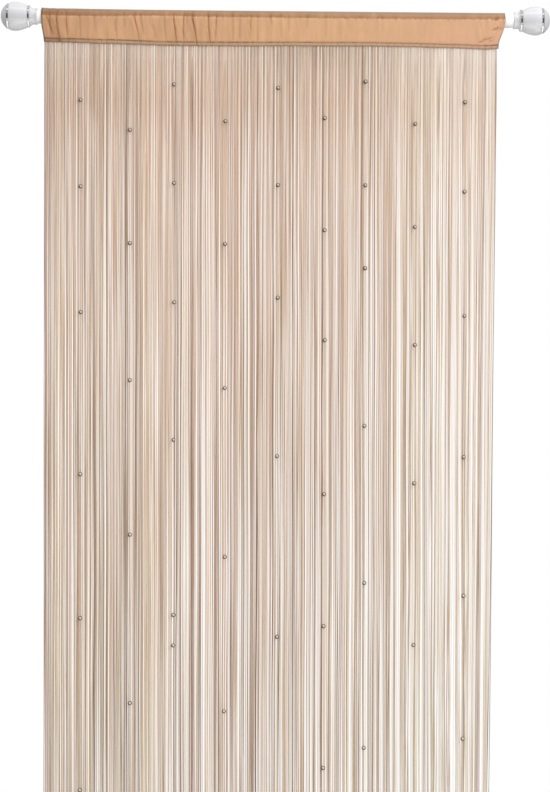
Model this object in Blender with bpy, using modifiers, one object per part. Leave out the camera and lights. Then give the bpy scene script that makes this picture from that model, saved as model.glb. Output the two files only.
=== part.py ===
"""Bead curtain on a rod: a satin rod pocket, a fringe of long strings with beads on nine of them,
and a white rod with a bulb finial on each end.

The origin is the middle of the rod, on its axis. +X runs along the rod, -Y is the front, +Z is up.
"""

import math
import random
from typing import NamedTuple

import bmesh
import bpy

MM = 0.001
CLEARANCE = 0.3 * MM

# Rod
ROD_RADIUS = 14.0 * MM
ROD_WALL = 1.2 * MM
ROD_SOCKET_DEPTH = 9.0 * MM
TURNED_STEPS = 24

# Finial, measured along the rod from the middle of its length
FINIAL_TIP = 546.5 * MM
FINIAL_INNER_END = 474.0 * MM
DOME_SPHERE_RADIUS = 29.8 * MM
BULB_WIDEST_AT = 517.5 * MM
BULB_RADIUS = 28.5 * MM
BULB_OUTER_EDGE_RADIUS = 26.6 * MM
BULB_NECK_AT = 482.5 * MM
COLLAR_RADIUS = 15.9 * MM
COLLAR_LIP_RADIUS = 16.7 * MM
COLLAR_LIP_WIDTH = 2.4 * MM
BULB_TAPER_POWER = 1.75
CAP_RING_AT = 533.4 * MM
CAP_RING_WIDTH = 3.6 * MM
CAP_RING_RADIUS = 25.3 * MM
CAP_STEM_RADIUS = 9.0 * MM
CAP_STEM_LENGTH = 18.0 * MM
NECK_RING_AT = 491.5 * MM
NECK_RING_WIDTH = 3.8 * MM
NECK_RING_RADIUS = 21.8 * MM
NECK_RING_THICKNESS = 1.9 * MM
SPIGOT_LENGTH = 28.0 * MM

# Rod pocket: one strip of satin, folded over the rod, with its two edges sewn to the string tape
CLOTH_THICKNESS = 1.0 * MM
ARC_STEPS = 5
FRONT_STEPS = 4
BACK_STEPS = 2
HEM_BAND = 9.0 * MM
LONGEST_SMOOTH_STRETCH = 42.0 * MM
POCKET_EDGE_LIFT = 1.6 * MM
LIFT_BETWEEN_FOLDS = 0.6
LIFT_ON_BACK = 0.4
LIFT_AT_HEM_TOP = 0.35
LIFT_AT_HEM_EDGE = 0.1

# The pocket's ends, from the crown down to the hem: how far each end lies along the rod
HEM_HEIGHT = -57.0 * MM
POCKET_ENDS = [
    # height, left end, right end
    (20.0, -464.7, 459.9),
    (-3.0, -464.7, 459.9),
    (-12.0, -464.2, 458.0),
    (-50.0, -458.6, 446.2),
    (-70.0, -458.2, 444.4),
]

# The lower edge of the hem, which waves a little along the pocket
HEM_DROPS = [
    # place along the rod, drop below the rod's axis
    (-470.0, 53.0),
    (-420.0, 53.6),
    (-340.0, 56.4),
    (-200.0, 58.2),
    (-90.0, 57.8),
    (60.0, 56.0),
    (190.0, 55.4),
    (270.0, 56.2),
    (350.0, 57.4),
    (420.0, 58.0),
    (470.0, 54.4),
]

# The creases that the pocket's gathers make, each a groove between two soft swells
FOLDS = [
    # place of the groove at the crown, and at the hem, half width, lift of the swells
    (-449.0, -445.0, 4.5, 3.0),
    (-434.0, -428.0, 3.6, 4.0),
    (-416.0, -414.0, 4.0, 3.0),
    (-318.0, -316.0, 5.0, 1.8),
    (-279.0, -271.0, 3.6, 3.6),
    (-251.0, -233.0, 5.0, 2.6),
    (-203.0, -196.0, 3.4, 4.0),
    (-182.0, -183.0, 3.6, 2.6),
    (-164.0, -158.0, 3.4, 4.0),
    (-134.0, -130.0, 3.2, 3.6),
    (-119.0, -121.0, 3.6, 2.4),
    (-51.0, -53.0, 4.0, 2.2),
    (138.0, 139.0, 4.5, 1.2),
    (404.0, 414.0, 4.5, 2.2),
    (450.0, 428.0, 4.5, 2.6),
]

# String tape and strings, which are as thick as the tape where they join it
STRING_HALF_WIDTH = 0.6 * MM
TAPE_THICKNESS = 2 * STRING_HALF_WIDTH
TAPE_SIDES = (-STRING_HALF_WIDTH, STRING_HALF_WIDTH)
TAPE_HEIGHT = 7.6 * MM
TAPE_RECESS = 0.5 * MM
FIELD_LEFT = -458.0 * MM
FIELD_RIGHT = 442.0 * MM
STRING_COUNT = 300
STRINGS_PER_TAPE_FACE = 10
CURTAIN_DROP = 1985.0 * MM
END_UNEVENNESS = 4.0 * MM
BEND_DROP = 640.0 * MM
STRING_SEED = 7

# How the strings lean together into clusters, more so towards their ends
CLUSTER_WAVES = [
    # length of the wave, sideways reach at the ends, phase
    (17.0, 0.65, 0.4),
    (43.0, 0.90, 2.1),
]
STRING_JITTER = 0.1 * MM
CLUSTERING_AT_BEND = 0.55
CLUSTERING_AT_LEFT = 0.6

# Beads
BEAD_RADIUS = 4.0 * MM
BEAD_SHOULDER = 0.55
BEAD_STAND_OFF = 5.0 * MM
STRAIGHT_BELOW_HEM = 8.0 * MM

# The beaded strings: place along the rod, then how far below the axis each bead sits
BEADED_STRINGS = [
    (-387.0, (166, 338, 589, 911, 1198, 1540, 1850)),
    (-287.0, (225, 450, 723, 1031, 1366, 1690)),
    (-202.0, (133, 330, 567, 841, 1190, 1250, 1570, 1880)),
    (-100.0, (205, 450, 737, 1073, 1380, 1720)),
    (5.0, (138, 331, 556, 871, 1231, 1560, 1860)),
    (98.0, (197, 420, 639, 946, 1209, 1491, 1790)),
    (181.0, (124, 330, 495, 809, 1122, 1450, 1760)),
    (277.0, (207, 412, 647, 922, 1244, 1575, 1870)),
    (376.0, (162, 341, 588, 869, 1145, 1430, 1730)),
]


def clear_scene():
    """Remove whatever the scene holds."""
    for item in list(bpy.data.objects):
        bpy.data.objects.remove(item, do_unlink=True)


def make_material(name, colour, roughness, metallic=0.0):
    """Return a Principled material."""
    material = bpy.data.materials.new(name)
    material.use_nodes = True
    shader = material.node_tree.nodes["Principled BSDF"]
    shader.inputs["Base Color"].default_value = (*colour, 1.0)
    shader.inputs["Roughness"].default_value = roughness
    shader.inputs["Metallic"].default_value = metallic
    material.diffuse_color = (*colour, 1.0)
    return material


def add_object(name, mesh, material, collection):
    """Put a mesh in the collection as a named sub-part."""
    part = bpy.data.objects.new(name, mesh)
    part.data.materials.append(material)
    collection.objects.link(part)
    return part


def interpolate(rows, place):
    """Read a table of (place, value) rows, in millimetres, with a smooth step between rows."""
    where = place / MM
    for (start, low), (end, high) in zip(rows, rows[1:]):
        if where <= end:
            share = min(max((where - start) / (end - start), 0.0), 1.0)
            return (low + (high - low) * share * share * (3 - 2 * share)) * MM
    return rows[-1][1] * MM


def hem_drop(place):
    """How far the hem's lower edge hangs below the rod's axis."""
    return interpolate(HEM_DROPS, place)


def pocket_end(height, side):
    """Where the pocket's left (1) or right (2) edge lies at a height."""
    rows = [(-row[0], row[side]) for row in POCKET_ENDS]
    return interpolate(rows, -height)


def turned(name, profile, closed, side, material, collection):
    """Turn a profile about the rod's axis; its rows are (distance along the rod, radius)."""
    mesh = bpy.data.meshes.new(name)
    points = [(radius, 0.0, along) for along, radius in profile]
    edges = [(i, i + 1) for i in range(len(points) - 1)]
    if closed:
        edges.append((len(points) - 1, 0))
    mesh.from_pydata(points, edges, [])
    part = add_object(name, mesh, material, collection)
    part.rotation_euler = (0.0, side * math.pi / 2, 0.0)
    screw = part.modifiers.new("turned", "SCREW")
    screw.axis = "Z"
    screw.steps = TURNED_STEPS
    screw.render_steps = TURNED_STEPS
    screw.use_merge_vertices = True
    screw.merge_threshold = 0.00005
    screw.use_smooth_shade = True
    return part


def build_rod(material, collection):
    """The rod is one straight tube, and its ends sit in the finials' sockets."""
    end = FINIAL_INNER_END + ROD_SOCKET_DEPTH - CLEARANCE
    bore = ROD_RADIUS - ROD_WALL
    profile = [(end, ROD_RADIUS), (-end, ROD_RADIUS), (-end, bore), (end, bore)]
    turned("rod", profile, True, 1, material, collection)


def bulb_radius(along):
    """Radius of the bulb's outside at a place along the rod."""
    if along > BULB_WIDEST_AT:
        outer_edge = CAP_RING_AT - CAP_RING_WIDTH / 2 - CLEARANCE
        share = (along - BULB_WIDEST_AT) / (outer_edge - BULB_WIDEST_AT)
        return BULB_RADIUS - (BULB_RADIUS - BULB_OUTER_EDGE_RADIUS) * share**2
    share = (BULB_WIDEST_AT - along) / (BULB_WIDEST_AT - BULB_NECK_AT)
    return BULB_RADIUS - (BULB_RADIUS - COLLAR_RADIUS) * share**BULB_TAPER_POWER


def bulb_profile():
    """Outline of the bulb: bored face, swell, ring groove, neck, collar, socket and spigot."""
    face = CAP_RING_AT - CAP_RING_WIDTH / 2 - CLEARANCE
    bore = CAP_STEM_RADIUS + CLEARANCE
    bore_end = CAP_RING_AT + CAP_RING_WIDTH / 2 - CAP_STEM_LENGTH - CLEARANCE
    groove_outer = NECK_RING_AT + NECK_RING_WIDTH / 2 + CLEARANCE
    groove_inner = NECK_RING_AT - NECK_RING_WIDTH / 2 - CLEARANCE
    groove_radius = NECK_RING_RADIUS - NECK_RING_THICKNESS - CLEARANCE
    socket_floor = FINIAL_INNER_END + ROD_SOCKET_DEPTH
    spigot = ROD_RADIUS - ROD_WALL - CLEARANCE
    outline = [(bore_end, 0.0), (bore_end, bore), (face, bore)]
    swell_steps = 3
    for step in range(swell_steps):
        along = face + (BULB_WIDEST_AT - face) * step / swell_steps
        outline.append((along, bulb_radius(along)))
    taper_steps = 4
    for step in range(taper_steps + 1):
        along = BULB_WIDEST_AT + (groove_outer - BULB_WIDEST_AT) * step / taper_steps
        outline.append((along, bulb_radius(along)))
    outline += [(groove_outer, groove_radius), (groove_inner, groove_radius)]
    neck_steps = 2
    for step in range(neck_steps + 1):
        along = groove_inner + (BULB_NECK_AT - groove_inner) * step / neck_steps
        outline.append((along, bulb_radius(along)))
    outline += [
        (FINIAL_INNER_END + COLLAR_LIP_WIDTH, COLLAR_RADIUS),
        (FINIAL_INNER_END + COLLAR_LIP_WIDTH, COLLAR_LIP_RADIUS),
        (FINIAL_INNER_END, COLLAR_LIP_RADIUS),
        (FINIAL_INNER_END, ROD_RADIUS + CLEARANCE),
        (socket_floor, ROD_RADIUS + CLEARANCE),
        (socket_floor, spigot),
        (socket_floor - SPIGOT_LENGTH, spigot),
        (socket_floor - SPIGOT_LENGTH, 0.0),
    ]
    return outline


def cap_profile():
    """Outline of the domed end cap and its stem."""
    seat = CAP_RING_AT + CAP_RING_WIDTH / 2 + CLEARANCE
    stem_end = CAP_RING_AT + CAP_RING_WIDTH / 2 - CAP_STEM_LENGTH
    widest = math.acos(1.0 - (FINIAL_TIP - seat) / DOME_SPHERE_RADIUS)
    dome_steps = 5
    outline = []
    for step in range(dome_steps + 1):
        angle = widest * step / dome_steps
        along = FINIAL_TIP - DOME_SPHERE_RADIUS * (1.0 - math.cos(angle))
        outline.append((along, DOME_SPHERE_RADIUS * math.sin(angle)))
    outline += [(seat, CAP_STEM_RADIUS), (stem_end, CAP_STEM_RADIUS), (stem_end, 0.0)]
    return outline


def ring_profile(centre, width, outer, inner):
    """Outline of a plain band ring with softened outer corners."""
    half, soft = width / 2, 0.5 * MM
    return [
        (centre + half, inner),
        (centre + half, outer - soft),
        (centre + half - soft, outer),
        (centre - half + soft, outer),
        (centre - half, outer - soft),
        (centre - half, inner),
    ]


def build_finial(word, side, materials, collection):
    """One finial: bulb with collar and spigot, ring round its neck, ring under its cap, and cap."""
    neck_ring = ring_profile(
        NECK_RING_AT, NECK_RING_WIDTH, NECK_RING_RADIUS, NECK_RING_RADIUS - NECK_RING_THICKNESS
    )
    cap_ring = ring_profile(
        CAP_RING_AT, CAP_RING_WIDTH, CAP_RING_RADIUS, CAP_STEM_RADIUS + CLEARANCE
    )
    name = f"finial_{word}"
    turned(f"{name}_bulb", bulb_profile(), False, side, materials["white"], collection)
    turned(f"{name}_neck_ring", neck_ring, True, side, materials["chrome"], collection)
    turned(f"{name}_cap_ring", cap_ring, True, side, materials["chrome"], collection)
    turned(f"{name}_cap", cap_profile(), False, side, materials["pearl"], collection)


def pocket_columns():
    """Columns of the pocket's cloth from left to right: (place at the top, at the hem, lift)."""
    columns = [(pocket_end(0.0, 1), pocket_end(HEM_HEIGHT, 1), POCKET_EDGE_LIFT)]
    for top, bottom, half, lift in FOLDS:
        swell = lift * MM
        for offset, height in ((-half, swell), (0.0, 0.0), (half, swell)):
            columns.append(((top + offset) * MM, (bottom + offset) * MM, height))
    columns.append((pocket_end(0.0, 2), pocket_end(HEM_HEIGHT, 2), POCKET_EDGE_LIFT))
    filled = columns[:1]
    for column in columns[1:]:
        previous = filled[-1]
        stretch = column[0] - previous[0]
        parts = max(1, math.ceil(stretch / LONGEST_SMOOTH_STRETCH))
        for part in range(1, parts):
            share = part / parts
            between = [a + (b - a) * share for a, b in zip(previous, column)]
            filled.append((between[0], between[1], LIFT_BETWEEN_FOLDS * between[2]))
        filled.append(column)
    return filled


def section_rows(drop):
    """The pocket's section above a hem's drop, from the back hem over the rod to the front hem.

    Each row is (y, z, outward y, outward z, share of the lift, share of the way down).
    """
    hem_top = drop - HEM_BAND
    hem_half_gap = TAPE_THICKNESS / 2 + CLEARANCE
    from_axis = math.hypot(hem_half_gap, hem_top)
    radius = ROD_RADIUS + CLEARANCE
    turn = math.atan2(hem_half_gap, hem_top) + math.acos(radius / from_axis)
    half_step = (math.pi - turn) / ARC_STEPS / 2
    outer_radius = radius / math.cos(half_step)
    touch = (outer_radius * math.sin(turn), -outer_radius * math.cos(turn))
    outward = (math.sin(turn), -math.cos(turn))

    def side_rows(direction, steps, lift_scale):
        rows = []
        for step in range(1, ARC_STEPS + 1):
            angle = math.pi - (math.pi - turn) * step / ARC_STEPS
            lift = lift_scale * (step / ARC_STEPS) ** 2
            out_y, out_z = math.sin(angle), -math.cos(angle)
            y, z = outer_radius * out_y, outer_radius * out_z
            rows.append((direction * y, z, direction * out_y, out_z, lift, 0.0))
        for step in range(1, steps + 1):
            share = step / steps
            y = touch[0] + (hem_half_gap - touch[0]) * share
            z = touch[1] + (-hem_top - touch[1]) * share
            lift = lift_scale * (1.0 - (1.0 - LIFT_AT_HEM_TOP) * share**3)
            rows.append((direction * y, z, direction * outward[0], outward[1], lift, share))
        hem_lift = lift_scale * LIFT_AT_HEM_EDGE
        rows.append((direction * hem_half_gap, -drop, direction, 0.0, hem_lift, 1.0))
        return rows

    crown = [(0.0, outer_radius, 0.0, 1.0, 0.0, 0.0)]
    back = side_rows(1, BACK_STEPS, LIFT_ON_BACK)
    front = side_rows(-1, FRONT_STEPS, 1.0)
    return back[::-1] + crown + front


def build_pocket(material, collection):
    """The pocket is a sheet of satin over the rod, open along its hem for the string tape."""
    columns = pocket_columns()
    first, last = columns[0], columns[-1]
    mesh = bpy.data.meshes.new("rod_pocket")
    shell = bmesh.new()
    grid = []
    for top, bottom, swell in columns:
        line = []
        share_at_top = (top - first[0]) / (last[0] - first[0])
        share_at_hem = (bottom - first[1]) / (last[1] - first[1])
        for y, z, out_y, out_z, lift, down in section_rows(hem_drop(bottom)):
            share = share_at_top + (share_at_hem - share_at_top) * down
            start, end = pocket_end(z, 1), pocket_end(z, 2)
            out = swell * lift
            point = (start + (end - start) * share, y + out * out_y, z + out * out_z)
            line.append(shell.verts.new(point))
        grid.append(line)
    for near, far in zip(grid, grid[1:]):
        for row in range(len(near) - 1):
            shell.faces.new((near[row], far[row], far[row + 1], near[row + 1]))
    bmesh.ops.recalc_face_normals(shell, faces=shell.faces)
    crown_face = max(shell.faces, key=lambda face: face.calc_center_median().z)
    if crown_face.normal.z < 0:
        bmesh.ops.reverse_faces(shell, faces=shell.faces)
    shell.to_mesh(mesh)
    shell.free()
    mesh.shade_smooth()
    pocket = add_object("rod_pocket", mesh, material, collection)
    thickness = pocket.modifiers.new("cloth", "SOLIDIFY")
    thickness.thickness = CLOTH_THICKNESS
    thickness.offset = 1.0
    thickness.use_even_offset = True


def cluster_shift(place, amount):
    """Sideways lean of a string that starts at a place, for a share of the full clustering."""
    across = (place - FIELD_LEFT) / (FIELD_RIGHT - FIELD_LEFT)
    strength = CLUSTERING_AT_LEFT + (1.0 - CLUSTERING_AT_LEFT) * across
    lean = sum(
        reach * MM * math.sin(2 * math.pi * place / (length * MM) + phase)
        for length, reach, phase in CLUSTER_WAVES
    )
    return lean * strength * amount


class Root(NamedTuple):
    """Where a string, or an end of the tape, meets the tape's underside."""

    front: bmesh.types.BMVert
    left: list
    back: list
    right: list


def string_root(ring):
    """The root of a string whose first ring lies in the tape's underside."""
    if len(ring) == 3:
        return Root(ring[0], [], [ring[2], ring[1]], [])
    return Root(ring[0], [ring[3]], [ring[2]], [ring[1]])


def string_ring(strings, place, y, z, half_width, sides):
    """One ring of a string's section: a triangle with its tip in front, or a diamond."""
    half = half_width
    offsets = [(0.0, -half), (half, half), (-half, half)]
    if sides == 4:
        offsets = [(0.0, -half), (half, 0.0), (0.0, half), (-half, 0.0)]
    return [strings.verts.new((place + dx, y + dy, z)) for dx, dy in offsets]


def string_levels(place, beads, rng):
    """Levels of a string from under the hem to its end: (drop, place, y, half size)."""
    jitter = rng.uniform(-STRING_JITTER, STRING_JITTER)
    end = CURTAIN_DROP + rng.uniform(-END_UNEVENNESS, END_UNEVENNESS)
    root = hem_drop(place) - TAPE_RECESS

    def at(drop, y, half):
        amount = CLUSTERING_AT_BEND * min(drop / BEND_DROP, 1.0)
        if drop > BEND_DROP:
            amount += (1.0 - CLUSTERING_AT_BEND) * (drop - BEND_DROP) / (CURTAIN_DROP - BEND_DROP)
        return (drop, place + cluster_shift(place, amount) + jitter * amount, y, half)

    if not beads:
        return [at(BEND_DROP, 0.0, STRING_HALF_WIDTH), at(end, 0.0, STRING_HALF_WIDTH)]
    levels = [at(root + STRAIGHT_BELOW_HEM, 0.0, STRING_HALF_WIDTH)]
    shoulder = BEAD_SHOULDER * BEAD_RADIUS
    for bead in beads:
        middle = bead * MM
        levels += [
            at(middle - BEAD_RADIUS, -BEAD_STAND_OFF, STRING_HALF_WIDTH),
            at(middle - shoulder, -BEAD_STAND_OFF, BEAD_RADIUS),
            at(middle + shoulder, -BEAD_STAND_OFF, BEAD_RADIUS),
            at(middle + BEAD_RADIUS, -BEAD_STAND_OFF, STRING_HALF_WIDTH),
        ]
    levels.append(at(end, -BEAD_STAND_OFF, STRING_HALF_WIDTH))
    return levels


def hang_string(strings, root_ring, levels):
    """Hang one string from its ring in the tape's lower face, down through its levels."""
    sides = len(root_ring)
    upper = root_ring
    for drop, place, y, half in levels:
        lower = string_ring(strings, place, y, -drop, half, sides)
        for i in range(sides):
            j = (i + 1) % sides
            strings.faces.new((lower[i], lower[j], upper[j], upper[i]))
        upper = lower
    strings.faces.new(upper[::-1])


def string_places():
    """Place of each string along the tape, and the beads on it."""
    pitch = (FIELD_RIGHT - FIELD_LEFT) / STRING_COUNT
    places = [FIELD_LEFT + pitch * (i + 0.5) for i in range(STRING_COUNT)]
    beads = {}
    for column, drops in BEADED_STRINGS:
        nearest = min(range(STRING_COUNT), key=lambda i: abs(places[i] - column * MM))
        beads[nearest] = drops
    return places, beads


def tape_underside(place):
    """Height of the tape's lower face, just inside the hem's lower edge."""
    return TAPE_RECESS - hem_drop(place)


def close_tape(strings, roots):
    """Build the tape's faces over the roots: its underside, front, back, top and two ends."""
    for one, other in zip(roots, roots[1:]):
        near = [one.front, *one.right, one.back[-1]]
        far = [other.back[0], *other.left, other.front]
        strings.faces.new(near + far)
    cuts = [*range(0, len(roots) - 1, STRINGS_PER_TAPE_FACE), len(roots) - 1]
    tops = []
    for cut in cuts:
        place = roots[cut].front.co.x
        height = tape_underside(place) + TAPE_HEIGHT
        tops.append([strings.verts.new((place, y, height)) for y in TAPE_SIDES])
    for block, (first, last) in enumerate(zip(cuts, cuts[1:])):
        members = roots[first : last + 1]
        front = [root.front for root in members]
        back = [members[0].back[-1]] + [point for root in members[1:] for point in root.back]
        low, high = tops[block], tops[block + 1]
        strings.faces.new(front + [high[0], low[0]])
        strings.faces.new([low[1], high[1]] + back[::-1])
        strings.faces.new([low[0], high[0], high[1], low[1]])
    for root, top in ((roots[0], tops[0]), (roots[-1], tops[-1])):
        strings.faces.new([root.front, top[0], top[1], root.back[0]])


def build_strings(material, collection):
    """The string tape, which lies between the hem's two layers, with every string fused to it."""
    rng = random.Random(STRING_SEED)
    places, beads = string_places()
    strings = bmesh.new()
    roots = []
    for i, place in enumerate(places):
        sides = 4 if i in beads else 3
        ring = string_ring(strings, place, 0.0, tape_underside(place), STRING_HALF_WIDTH, sides)
        hang_string(strings, ring, string_levels(place, beads.get(i), rng))
        roots.append(string_root(ring))
    ends = []
    for place in (FIELD_LEFT, FIELD_RIGHT):
        height = tape_underside(place)
        front, back = (strings.verts.new((place, y, height)) for y in TAPE_SIDES)
        ends.append(Root(front, [], [back], []))
    close_tape(strings, [ends[0], *roots, ends[1]])
    bmesh.ops.recalc_face_normals(strings, faces=strings.faces)
    mesh = bpy.data.meshes.new("strings")
    strings.to_mesh(mesh)
    strings.free()
    add_object("strings", mesh, material, collection)


def main():
    """Build every sub-part of the curtain."""
    clear_scene()
    collection = bpy.data.collections.new("bead_curtain_on_a_rod")
    bpy.context.scene.collection.children.link(collection)
    finial_materials = {
        "white": make_material("white_gloss", (0.86, 0.86, 0.85), 0.2),
        "pearl": make_material("pearl_cap", (0.62, 0.62, 0.62), 0.3),
        "chrome": make_material("chrome", (0.75, 0.75, 0.76), 0.1, 1.0),
    }
    build_rod(finial_materials["white"], collection)
    build_finial("left", -1, finial_materials, collection)
    build_finial("right", 1, finial_materials, collection)
    build_pocket(make_material("satin", (0.66, 0.40, 0.22), 0.45), collection)
    build_strings(make_material("string", (0.62, 0.49, 0.40), 0.6), collection)


main()
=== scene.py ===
"""Looks of the bead curtain: a satin rod pocket, fine strings with round beads, a white rod and its finials.

Lengths are in metres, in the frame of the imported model: the origin is the middle of the rod on its
axis, +X runs along the rod, -Y is the front and +Z is up. Lengths in the tables of the cloth and the
strings are in millimetres, unless a heading says otherwise.
"""

import logging
import math
from dataclasses import dataclass, field
from enum import Enum
from typing import NamedTuple

import bpy
import numpy as np
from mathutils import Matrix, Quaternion, Vector


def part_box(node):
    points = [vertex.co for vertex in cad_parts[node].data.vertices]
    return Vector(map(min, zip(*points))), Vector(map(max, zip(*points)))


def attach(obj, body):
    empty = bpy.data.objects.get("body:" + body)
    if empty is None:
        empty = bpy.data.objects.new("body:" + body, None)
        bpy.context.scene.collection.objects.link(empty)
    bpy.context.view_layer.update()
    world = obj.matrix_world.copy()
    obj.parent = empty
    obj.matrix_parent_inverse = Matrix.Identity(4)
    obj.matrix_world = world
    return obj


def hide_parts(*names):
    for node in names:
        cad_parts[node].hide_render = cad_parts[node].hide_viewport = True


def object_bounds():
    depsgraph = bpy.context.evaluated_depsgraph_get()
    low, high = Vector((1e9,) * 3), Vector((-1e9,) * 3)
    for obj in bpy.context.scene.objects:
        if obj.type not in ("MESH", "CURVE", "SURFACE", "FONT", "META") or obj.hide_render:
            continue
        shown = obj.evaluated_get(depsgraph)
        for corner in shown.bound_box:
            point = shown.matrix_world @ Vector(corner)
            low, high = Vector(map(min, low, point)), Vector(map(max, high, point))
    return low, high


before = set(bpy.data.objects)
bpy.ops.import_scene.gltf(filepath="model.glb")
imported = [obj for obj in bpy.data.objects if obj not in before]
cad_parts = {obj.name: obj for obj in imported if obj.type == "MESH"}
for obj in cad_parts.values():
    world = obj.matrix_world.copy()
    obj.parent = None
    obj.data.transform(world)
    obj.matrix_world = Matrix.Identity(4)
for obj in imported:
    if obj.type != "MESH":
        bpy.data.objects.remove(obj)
CAD_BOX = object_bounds()

MM = 0.001
FULL_TURN = 2 * math.pi
BODY = "root"
LOG = logging.getLogger("bead_curtain")

# Sizes that several pieces share
CLEARANCE = 0.3 * MM
ROD_RADIUS = 14.0 * MM
LATHE_STEPS = 96
SHARP_EDGE = math.radians(35.0)

Colour = tuple[float, float, float]
Stops = tuple[tuple[float, Colour], ...]
Profile = list[tuple[float, float]]
Socket = bpy.types.NodeSocket
Material = bpy.types.Material
Object = bpy.types.Object

# The pocket's ends, from below the hem to above the crown
POCKET_ENDS = [
    # height, left end, right end
    (-70.0, -460.0, 443.4),
    (-50.0, -460.2, 444.6),
    (-12.0, -464.6, 454.4),
    (-3.0, -464.7, 456.0),
    (20.0, -464.7, 456.0),
]

# The lower edge of the hem
HEM_DROPS = [
    # place along the rod, drop below the rod's axis
    (-470.0, 49.7),
    (-420.0, 50.7),
    (-340.0, 52.5),
    (-200.0, 55.5),
    (-90.0, 55.3),
    (60.0, 53.9),
    (190.0, 53.3),
    (270.0, 54.0),
    (350.0, 55.5),
    (420.0, 57.2),
    (470.0, 53.8),
]

# Grooves that the two rows of stitches pull into the hem
HEM_GROOVES = [
    # height above the hem's edge, half width, depth
    (6.825, 1.0, 0.45),
    (1.125, 0.8, 0.36),
]

# Lines of painted shade along the hem: its seam, its middle and its edge
HEM_LINES = [
    # height above the hem's edge, half width, strength of the painted shade
    (7.275, 1.9, 0.74),
    (3.15, 0.7, 0.1),
    (0.9, 1.3, 0.25),
]

# How far the cloth stands off the rod's top, and how far down the painted shade over its crown reaches
CROWN = [
    # place along the rod, stand-off, depth of the band of painted shade
    (-465.0, 2.6, 13.4),
    (-420.0, 1.9, 14.4),
    (-360.0, 1.1, 14.6),
    (-240.0, 0.5, 13.2),
    (-120.0, 0.3, 14.4),
    (40.0, 0.1, 14.8),
    (160.0, 0.0, 15.0),
    (330.0, 0.0, 14.9),
    (460.0, 0.0, 14.2),
]

# The pocket's main creases, each a groove between two soft swells, with painted shade in the groove
FOLDS = [
    # place of the groove at the crown, and at the hem, half width, lift of the swells, strength of the
    # painted shade
    (-449.0, -445.0, 4.5, 3.0, 0.7),
    (-434.0, -428.0, 3.6, 4.0, 1.0),
    (-416.0, -414.0, 4.0, 3.0, 0.45),
    (-318.0, -316.0, 5.0, 1.8, 0.35),
    (-279.0, -271.0, 3.6, 3.6, 0.75),
    (-251.0, -233.0, 7.5, 0.8, 0.0),
    (-203.0, -196.0, 3.4, 4.0, 1.0),
    (-182.0, -183.0, 3.6, 2.6, 0.6),
    (-164.0, -158.0, 3.4, 4.0, 0.9),
    (-134.0, -130.0, 3.2, 3.6, 0.75),
    (-119.0, -121.0, 3.6, 2.4, 0.5),
    (-51.0, -53.0, 4.0, 2.2, 0.4),
    (138.0, 139.0, 4.5, 1.2, 0.2),
    (404.0, 414.0, 4.5, 1.0, 0.0),
    (450.0, 428.0, 4.5, 2.0, 0.0),
]

# Short and faint creases between the main ones
FINE_CREASES = [
    # place at its top, place at its bottom, height of its top, height of its bottom, half width, depth, which
    # also sets the painted shade in it
    (-456.0, -440.0, 4.0, -38.0, 1.6, 0.9),
    (-389.0, -386.0, 4.0, -42.0, 2.0, 0.5),
    (-359.0, -357.0, 2.0, -30.0, 2.4, 0.35),
    (-300.0, -299.0, 6.0, -20.0, 2.0, 0.4),
    (-268.0, -262.0, 5.0, -34.0, 1.6, 0.8),
    (-243.0, -236.0, -16.0, -42.0, 3.2, 0.5),
    (-221.0, -218.0, 4.0, -44.0, 1.8, 0.6),
    (-176.0, -172.0, 5.0, -30.0, 1.6, 0.7),
    (-85.0, -84.0, 6.0, -44.0, 2.0, 0.55),
    (-70.0, -71.0, 5.0, -40.0, 1.8, 0.6),
    (-36.0, -35.0, 6.0, -46.0, 1.8, 0.5),
    (-10.0, -8.0, 7.0, -14.0, 2.0, 0.5),
    (11.0, 12.0, 6.0, -38.0, 2.2, 0.4),
    (27.0, 27.0, 6.0, -24.0, 1.8, 0.4),
    (64.0, 63.0, 7.0, -18.0, 2.0, 0.4),
    (100.0, 101.0, 6.0, -34.0, 2.4, 0.3),
    (212.0, 213.0, 6.0, -22.0, 3.0, 0.25),
    (429.0, 421.0, -34.0, -38.5, 4.2, 1.0),
    (418.0, 413.0, -36.5, -40.5, 3.6, 1.1),
    (411.0, 406.0, -41.0, -44.5, 3.6, 1.1),
    (431.0, 425.0, -38.5, -42.5, 3.0, 0.9),
    (444.0, 433.0, -14.0, -21.0, 5.0, 1.2),
    (450.0, 446.0, -17.0, -21.0, 2.6, 0.8),
    (441.0, 436.0, 5.0, -3.5, 3.4, 1.1),
]

# A stitch's outline, as shares of its length and of its radius
STITCH_OUTLINE = [
    # place from its middle, radius there
    (-0.5, 0.25),
    (-0.38, 0.8),
    (0.0, 1.0),
    (0.38, 0.8),
    (0.5, 0.25),
]

# The beaded strings: place along the rod, then how far below the axis each bead sits
BEADED_STRINGS = [
    (-387.0, (165, 337, 587, 910, 1198, 1542, 1852)),
    (-287.0, (224, 449, 722, 1030, 1367, 1692)),
    (-202.0, (133, 329, 566, 840, 1190, 1251, 1572, 1882)),
    (-100.0, (205, 449, 736, 1073, 1382, 1723)),
    (5.0, (138, 331, 555, 871, 1232, 1563, 1863)),
    (98.0, (197, 420, 639, 946, 1210, 1494, 1793)),
    (181.0, (124, 330, 495, 809, 1123, 1453, 1764)),
    (277.0, (207, 412, 647, 923, 1246, 1579, 1874)),
    (376.0, (163, 341, 588, 870, 1147, 1433, 1734)),
]

# How far the strings have drifted to the right, by their drop
FIELD_DRIFT = [
    # drop, at the left edge, at the outer beaded strings and between them, at the right edge
    (0.0, -1.6, 0.2, -0.8),
    (160.0, -1.4, 0.8, 0.2),
    (330.0, -0.6, 1.7, -0.4),
    (700.0, 1.2, 4.6, -1.2),
    (1200.0, 3.4, 8.0, -0.6),
    (1990.0, 6.6, 13.0, -1.4),
]

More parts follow.
